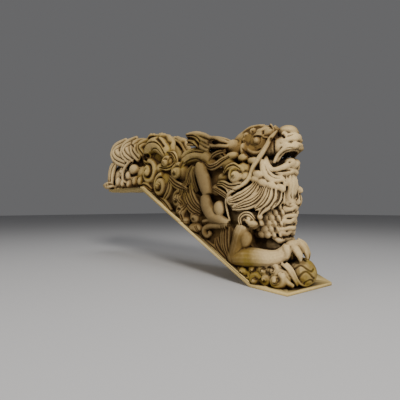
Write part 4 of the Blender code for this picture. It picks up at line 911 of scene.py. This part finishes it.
def cut_depths(places, normals):
    """How deep the carved lines go at each place, and how near each place lies to one."""
    depths = np.zeros(len(places))
    shares = np.zeros(len(places))
    for members, flat in ((lines, True), (grooves, False)):
        tree = kdtree.KDTree(sum(len(member[0]) for member in members))
        facts = []
        for member in members:
            for point in member[0]:
                tree.insert((point.x, 0, point.z) if flat else point, len(facts))
                facts.append(member[1:])
        tree.balance()
        widest = max(fact[0] for fact in facts)
        chosen = np.flatnonzero(np.abs(normals[:, 1]) > 0.2) if flat else range(len(places))
        for index in chosen:
            x, y, z = places[index]
            far = tree.find((x, 0, z) if flat else (x, y, z))
            if far[2] < widest:
                fact = facts[far[1]]
                if far[2] < fact[0] and not (flat and abs(y) < fact[2]):
                    share = (1 - (far[2] / fact[0]) ** 2) ** 2
                    depths[index] = max(depths[index], fact[1] * share)
                    shares[index] = max(shares[index], share)
    return depths, shares


def weathered(mesh):
    """Wears the carved surface: lines cut into it, then soft hollows and small pits."""
    places = coordinates(mesh)
    normals = coordinates(mesh, "normal")
    push = -cut_depths(places, normals)[0]
    for size, depth in WEAR:
        push += depth * np.array([noise.noise(Vector(place) / size) for place in places])
    move(mesh, places + normals * push[:, None])


def smoothed(values, ends, rounds):
    """Values at the vertices, averaged along the edges a number of times."""
    count = np.bincount(ends.ravel(), minlength=len(values))[:, None]
    for _ in range(rounds):
        total = np.zeros_like(values)
        for axis in range(values.shape[1]):
            total[:, axis] = (np.bincount(ends[:, 0], values[ends[:, 1], axis], len(values))
                              + np.bincount(ends[:, 1], values[ends[:, 0], axis], len(values)))
        values = 0.5 * values + 0.5 * total / np.maximum(count, 1)
    return values


def mark_relief(mesh):
    """Stores how proud each point lies among its neighbours, and what is a carved line or a slab."""
    places = coordinates(mesh)
    normals = coordinates(mesh, "normal")
    ends = edge_ends(mesh)
    level = places
    done = 0
    for name, rounds, scale in (("fine_relief", 8, 0.0025), ("broad_relief", 80, 0.012)):
        level = smoothed(level, ends, rounds - done)
        done = rounds
        height = ((places - level) * normals).sum(axis=1) / scale
        height = smoothed(height[:, None], ends, 1)[:, 0]
        store(mesh, name, np.clip(height, -1, 1))
    store(mesh, "line", cut_depths(places, normals)[1])
    over_bed = places[:, 2] - np.clip((TOE - places[:, 0]) * SLOPE, 0.0, RISE)
    store(mesh, "slab", over_bed < SLAB * 1.2)


def mark_openness(pieces):
    """Stores how much open air each point sees, from 0 deep in a hollow to 1 on an open face."""
    corners, faces = [], []
    for piece in pieces:
        first = len(corners)
        corners += [tuple(place) for place in coordinates(piece.data)]
        faces += [tuple(first + corner for corner in face.vertices) for face in piece.data.polygons]
    tree = BVHTree.FromPolygons(corners, faces)
    ways = []
    for number in range(WAYS):
        up = 1 - (2 * number + 1) / WAYS
        turn = number * math.pi * (3 - math.sqrt(5))
        ways.append((math.sqrt(1 - up * up) * math.cos(turn), math.sqrt(1 - up * up) * math.sin(turn), up))
    for piece in pieces:
        mesh = piece.data
        normals = coordinates(mesh, "normal")
        starts = [tuple(place) for place in coordinates(mesh) + normals * LIFT_OFF]
        seen = np.zeros(len(starts))
        total = np.full(len(starts), 0.0001)
        for way in ways:
            facing = normals @ np.array(way)
            for index in np.flatnonzero(facing > 0.08).tolist():
                hit = tree.ray_cast(starts[index], way, SIGHT)[3]
                seen[index] += facing[index] * (1.0 if hit is None else 0.6 * hit / SIGHT)
                total[index] += facing[index]
        store(mesh, "openness", smoothed((seen / total)[:, None], edge_ends(mesh), 2)[:, 0])


def carving():
    """The whole carving as one closed body."""
    for part in (core, head, jaw, beard, whisker, cheek, mane, ear_and_tuft, chest, shoulder, right_arm,
                 left_arm, ball, lower_clouds, foot_of_slope, leg, slope_clouds, front_arch, back_arch,
                 tail, engraving):
        part()
    meshes = [ball_mesh()]
    meshes += [strand_mesh(squeeze, members) for squeeze, members in strands.items()]
    meshes += [outline_mesh(outline, half_width) for outline, half_width in walls]
    obj = placed("carving", joined(meshes))
    remesh = obj.modifiers.new("remesh", "REMESH")
    remesh.mode = "VOXEL"
    remesh.voxel_size = VOXEL
    evaluated(obj)
    largest_body(obj.data)
    return obj


def stones():
    """Both stones, cut from the carving and marked for the material."""
    carved = carving()
    weathered(carved.data)
    above = [(FAR, 0.0), (FAR, FAR), (-FAR, FAR), (-FAR, RISE), (TOP_STEP, RISE), (TOE, 0.0)]
    boolean(carved, outline_mesh(above, FAR / 2), "INTERSECT")
    for mesh in (slab_mesh(), landing_mesh(), upper_bed_mesh()):
        boolean(carved, mesh, "UNION")
    made = []
    layers = (
        ("lower_stone", -FAR, JOINT_HEIGHT - JOINT_GAP / 2),
        ("upper_stone", JOINT_HEIGHT + JOINT_GAP / 2, FAR),
    )
    for name, low, high in layers:
        piece = placed("carved_" + name, carved.data.copy())
        boolean(piece, box_mesh((-FAR, -FAR, low), (FAR, FAR, high)), "INTERSECT")
        largest_body(piece.data)
        reduced(piece, STONE_TRIANGLES)
        held_in(piece.data, solid_box)
        mark_relief(piece.data)
        piece.data.materials.clear()
        piece.data.shade_smooth()
        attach(piece, "root")
        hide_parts(name)
        made.append(piece)
    bpy.data.objects.remove(carved)
    mark_openness(made)
    return made


class Shade:
    """A short way to build a node material."""

    def __init__(self, name):
        self.material = bpy.data.materials.new(name)
        self.material.use_nodes = True
        self.tree = self.material.node_tree
        self.shader = self.tree.nodes["Principled BSDF"]

    def node(self, kind, **settings):
        made = self.tree.nodes.new(kind)
        for name, value in settings.items():
            setattr(made, name, value)
        return made

    def link(self, source, target):
        if hasattr(source, "is_output"):
            self.tree.links.new(source, target)
        else:
            target.default_value = source

    def attribute(self, name):
        return self.node("ShaderNodeAttribute", attribute_name=name).outputs["Fac"]

    def place(self):
        return self.node("ShaderNodeTexCoord").outputs["Object"]

    def noise(self, scale, detail=4.0, rough=0.6):
        made = self.node("ShaderNodeTexNoise")
        made.inputs["Scale"].default_value = scale
        made.inputs["Detail"].default_value = detail
        made.inputs["Roughness"].default_value = rough
        self.link(self.place(), made.inputs["Vector"])
        return made.outputs["Fac"]

    def ramp(self, value, low, high, start=0.0, end=1.0):
        made = self.node("ShaderNodeMapRange")
        made.clamp = True
        self.link(value, made.inputs["Value"])
        for socket, number in zip(("From Min", "From Max", "To Min", "To Max"), (low, high, start, end)):
            made.inputs[socket].default_value = number
        return made.outputs["Result"]

    def math(self, operation, a, b):
        made = self.node("ShaderNodeMath", operation=operation)
        self.link(a, made.inputs[0])
        self.link(b, made.inputs[1])
        return made.outputs[0]

    def times(self, a, b):
        return self.math("MULTIPLY", a, b)

    def mix(self, share, a, b):
        made = self.node("ShaderNodeMix", data_type="RGBA")
        self.link(share, made.inputs["Factor"])
        for value, socket in ((a, made.inputs[6]), (b, made.inputs[7])):
            self.link(value if hasattr(value, "is_output") else (*value, 1), socket)
        return made.outputs[2]

    def near(self, centre, reach):
        """One at a place, falling to nothing at the reach."""
        made = self.node("ShaderNodeVectorMath", operation="DISTANCE")
        self.link(self.place(), made.inputs[0])
        made.inputs[1].default_value = centre
        return self.ramp(made.outputs["Value"], reach * 0.45, reach, 1.0, 0.0)

    def patches(self, places):
        """One in any of the places, falling to nothing at its reach."""
        found = 0.0
        for centre, reach in places:
            found = self.math("MAXIMUM", found, self.near(centre, reach))
        return found


# Patches of the stone's colour and of painted shade: a centre and how far each reaches
MOSSY = (((-1.65, -0.2, 1.25), 0.5), ((-1.38, -0.2, 1.0), 0.45), ((-1.13, -0.2, 0.95), 0.36),
         ((-0.95, -0.15, 1.2), 0.3), ((0.14, 0.0, 0.1), 0.3), ((-0.12, -0.25, 0.08), 0.3),
         ((-0.4, -0.24, 0.95), 0.28))
PALE = (((0.05, -0.05, 0.75), 0.42), ((-0.3, -0.25, 0.72), 0.3), ((0.05, -0.05, 0.55), 0.34),
        ((0.0, -0.1, 0.98), 0.27), ((0.1, -0.1, 1.22), 0.16), ((-2.45, -0.15, 1.25), 0.5),
        ((0.05, -0.2, 0.3), 0.26))
LOW_CLOUDS = (((-0.05, -0.25, 0.1), 0.42),)
# Listed patches turned a deeper brown
DARK_PATCHES = (((-0.85, -0.25, 0.85), 0.55), ((-0.6, -0.25, 0.4), 0.32), ((-0.75, -0.2, 1.25), 0.25),
        ((-1.25, -0.2, 0.8), 0.35))
# Places of painted shade, near black: in the mouth and under the forearm
SHADED_GAPS = (((0.02, 0.0, 1.1), 0.15), ((-0.1, -0.08, 0.34), 0.16))

# Colours of the stone, among them painted shade and painted highlights
BROWN = (0.15, 0.09, 0.022)
OCHRE = (0.28, 0.175, 0.045)
UMBER = (0.15, 0.085, 0.02)
MOSS = (0.31, 0.22, 0.022)
CREAM = (0.78, 0.58, 0.31)
# Painted highlight as well as rubbing wear: the bright of proud open faces and the tan of open fine ridges
BRIGHT = (0.86, 0.67, 0.36)
TAN = (0.62, 0.43, 0.19)
# Painted shade with dirt, for hollows
SHADE_AND_STAIN = (0.075, 0.033, 0.006)
# Painted shade, for deep hollows, the mouth and under the forearm
NEAR_BLACK = (0.012, 0.005, 0.001)
# A deeper brown, for the listed dark patches
DEEP_BROWN = (0.075, 0.045, 0.014)
STRAW = (0.74, 0.55, 0.22)
# Painted shade, for fine grooves and pits
SLIT = (0.025, 0.011, 0.002)
# Painted shade, for the carved lines
CUT = (0.02, 0.008, 0.002)
GRAIN = (0.15, 0.085, 0.03)


def stone_material():
    """Weathered sandstone: pale where rubbing and washing wore it, with painted highlights on open proud
    faces, ochre where moss grew, and painted shade with some dirt that goes near black in hollows, grooves
    and carved lines.
    """
    shade = Shade("weathered_sandstone")
    broad = shade.noise(3.2)
    middle = shade.noise(11.0)
    grain = shade.noise(60.0, 6.0, 0.7)
    fine = shade.attribute("fine_relief")
    raised = shade.attribute("broad_relief")
    openness = shade.attribute("openness")
    base = shade.mix(shade.ramp(broad, 0.35, 0.65), BROWN, OCHRE)
    base = shade.mix(shade.ramp(middle, 0.42, 0.7, 0.0, 0.7), base, UMBER)
    moss = shade.times(shade.patches(MOSSY), shade.ramp(middle, 0.25, 0.6))
    base = shade.mix(shade.times(moss, 0.85), base, MOSS)
    pale = shade.patches(PALE)
    base = shade.mix(shade.times(pale, 0.75), base, CREAM)
    # Painted highlight with rubbing wear: proud faces and fine ridges that see open air turn bright, most
    # of all in the pale patches
    rubbed_and_lit = shade.ramp(pale, 0.0, 1.0, 0.35, 1.0)
    proud = shade.times(shade.ramp(raised, 0.15, 0.8, 0.0, 0.8), shade.ramp(openness, 0.7, 0.98))
    base = shade.mix(shade.times(proud, rubbed_and_lit), base, BRIGHT)
    worn_and_lit = shade.times(shade.ramp(fine, 0.15, 0.9, 0.0, 0.4), shade.ramp(openness, 0.6, 0.95))
    base = shade.mix(shade.times(worn_and_lit, rubbed_and_lit), base, TAN)
    # Painted shade with dirt: the less open air a point sees, the darker brown it turns, less so in the
    # washed pale patches
    washed = shade.math("MAXIMUM", pale, shade.patches(LOW_CLOUDS))
    dirt_and_shade_weight = shade.math("SUBTRACT", 1.0, shade.times(washed, 0.55))
    base = shade.mix(shade.times(shade.ramp(openness, 0.95, 0.62, 0.0, 0.92), dirt_and_shade_weight), base, SHADE_AND_STAIN)
    # Painted shade: deep hollows go near black
    base = shade.mix(shade.ramp(openness, 0.70, 0.40), base, NEAR_BLACK)
    # Listed patches are darkened to a deeper brown
    base = shade.mix(shade.times(shade.patches(DARK_PATCHES), 0.55), base, DEEP_BROWN)
    bed = shade.times(shade.attribute("slab"), shade.ramp(openness, 0.35, 0.65))
    base = shade.mix(bed, base, STRAW)
    # Painted shade: fine grooves and pits darkened
    base = shade.mix(shade.ramp(fine, -0.15, -0.85, 0.0, 0.85), base, SLIT)
    # Painted shade along the carved lines
    base = shade.mix(shade.ramp(shade.attribute("line"), 0.1, 0.8, 0.0, 0.9), base, CUT)
    # Painted shade: the mouth and the space under the forearm go near black where little open air is seen
    base = shade.mix(shade.times(shade.patches(SHADED_GAPS), shade.ramp(openness, 0.9, 0.6)), base, NEAR_BLACK)
    base = shade.mix(shade.ramp(grain, 0.35, 0.75, 0.0, 0.3), base, GRAIN)
    shade.link(base, shade.shader.inputs["Base Color"])
    shade.link(shade.ramp(middle, 0.3, 0.7, 0.82, 0.95), shade.shader.inputs["Roughness"])
    shade.shader.inputs["Specular IOR Level"].default_value = 0.2
    bump = shade.node("ShaderNodeBump")
    bump.inputs["Strength"].default_value = 0.5
    bump.inputs["Distance"].default_value = 0.004
    shade.link(grain, bump.inputs["Height"])
    shade.link(bump.outputs["Normal"], shade.shader.inputs["Normal"])
    return shade.material


def plain_material(name, colour):
    made = bpy.data.materials.new(name)
    made.use_nodes = True
    shader = made.node_tree.nodes["Principled BSDF"]
    shader.inputs["Base Color"].default_value = (*colour, 1)
    shader.inputs["Roughness"].default_value = 0.9
    return made


def floor():
    work = bmesh.new()
    bmesh.ops.create_grid(work, x_segments=1, y_segments=1, size=30)
    mesh = bpy.data.meshes.new("floor")
    work.to_mesh(mesh)
    work.free()
    obj = placed("floor", mesh)
    obj.location.z = solid_box[0][2] - 0.001
    mesh.materials.append(plain_material("pale_floor", (0.5, 0.5, 0.51)))


def area_light(name, place, target, size, power, colour=(1, 1, 1)):
    light = bpy.data.lights.new(name, "AREA")
    light.size = size
    light.energy = power
    light.color = colour
    obj = placed(name, light)
    obj.location = place
    obj.rotation_euler = (Vector(target) - Vector(place)).to_track_quat("-Z", "Y").to_euler()


def lights():
    area_light("key", (4.5, -3.5, 5.3), (-0.6, 0, 0.7), 2.2, 600, (1, 0.97, 0.92))
    area_light("fill", (-2.5, -6.7, 3.7), (-1.2, 0, 0.8), 4.0, 90, (1, 0.97, 0.93))
    area_light("top", (-1.2, 0.3, 6.7), (-1.2, 0, 0.8), 3.2, 100)
    world = bpy.data.worlds.new("studio")
    bpy.context.scene.world = world
    world.use_nodes = True
    world.node_tree.nodes["Background"].inputs["Color"].default_value = (0.4, 0.4, 0.41, 1)
    world.node_tree.nodes["Background"].inputs["Strength"].default_value = 0.35


def camera():
    """The photograph's camera: it looks up a little, so that its horizon lies under the middle."""
    heading = math.radians(CAMERA_HEADING)
    pitch = math.atan((HORIZON_PIXEL - FRAME_PIXELS / 2) / FOCAL_PIXELS)
    ahead = math.cos(pitch)
    look = Vector((-math.sin(heading) * ahead, math.cos(heading) * ahead, math.sin(pitch)))
    data = bpy.data.cameras.new("camera")
    data.sensor_width = SENSOR
    data.lens = FOCAL_PIXELS / FRAME_PIXELS * SENSOR
    obj = placed("camera", data)
    obj.location = CAMERA_PLACE
    obj.rotation_euler = look.to_track_quat("-Z", "Y").to_euler()
    bpy.context.scene.camera = obj


camera()
lights()
floor()
stone = stone_material()
for piece in stones():
    piece.data.materials.append(stone)
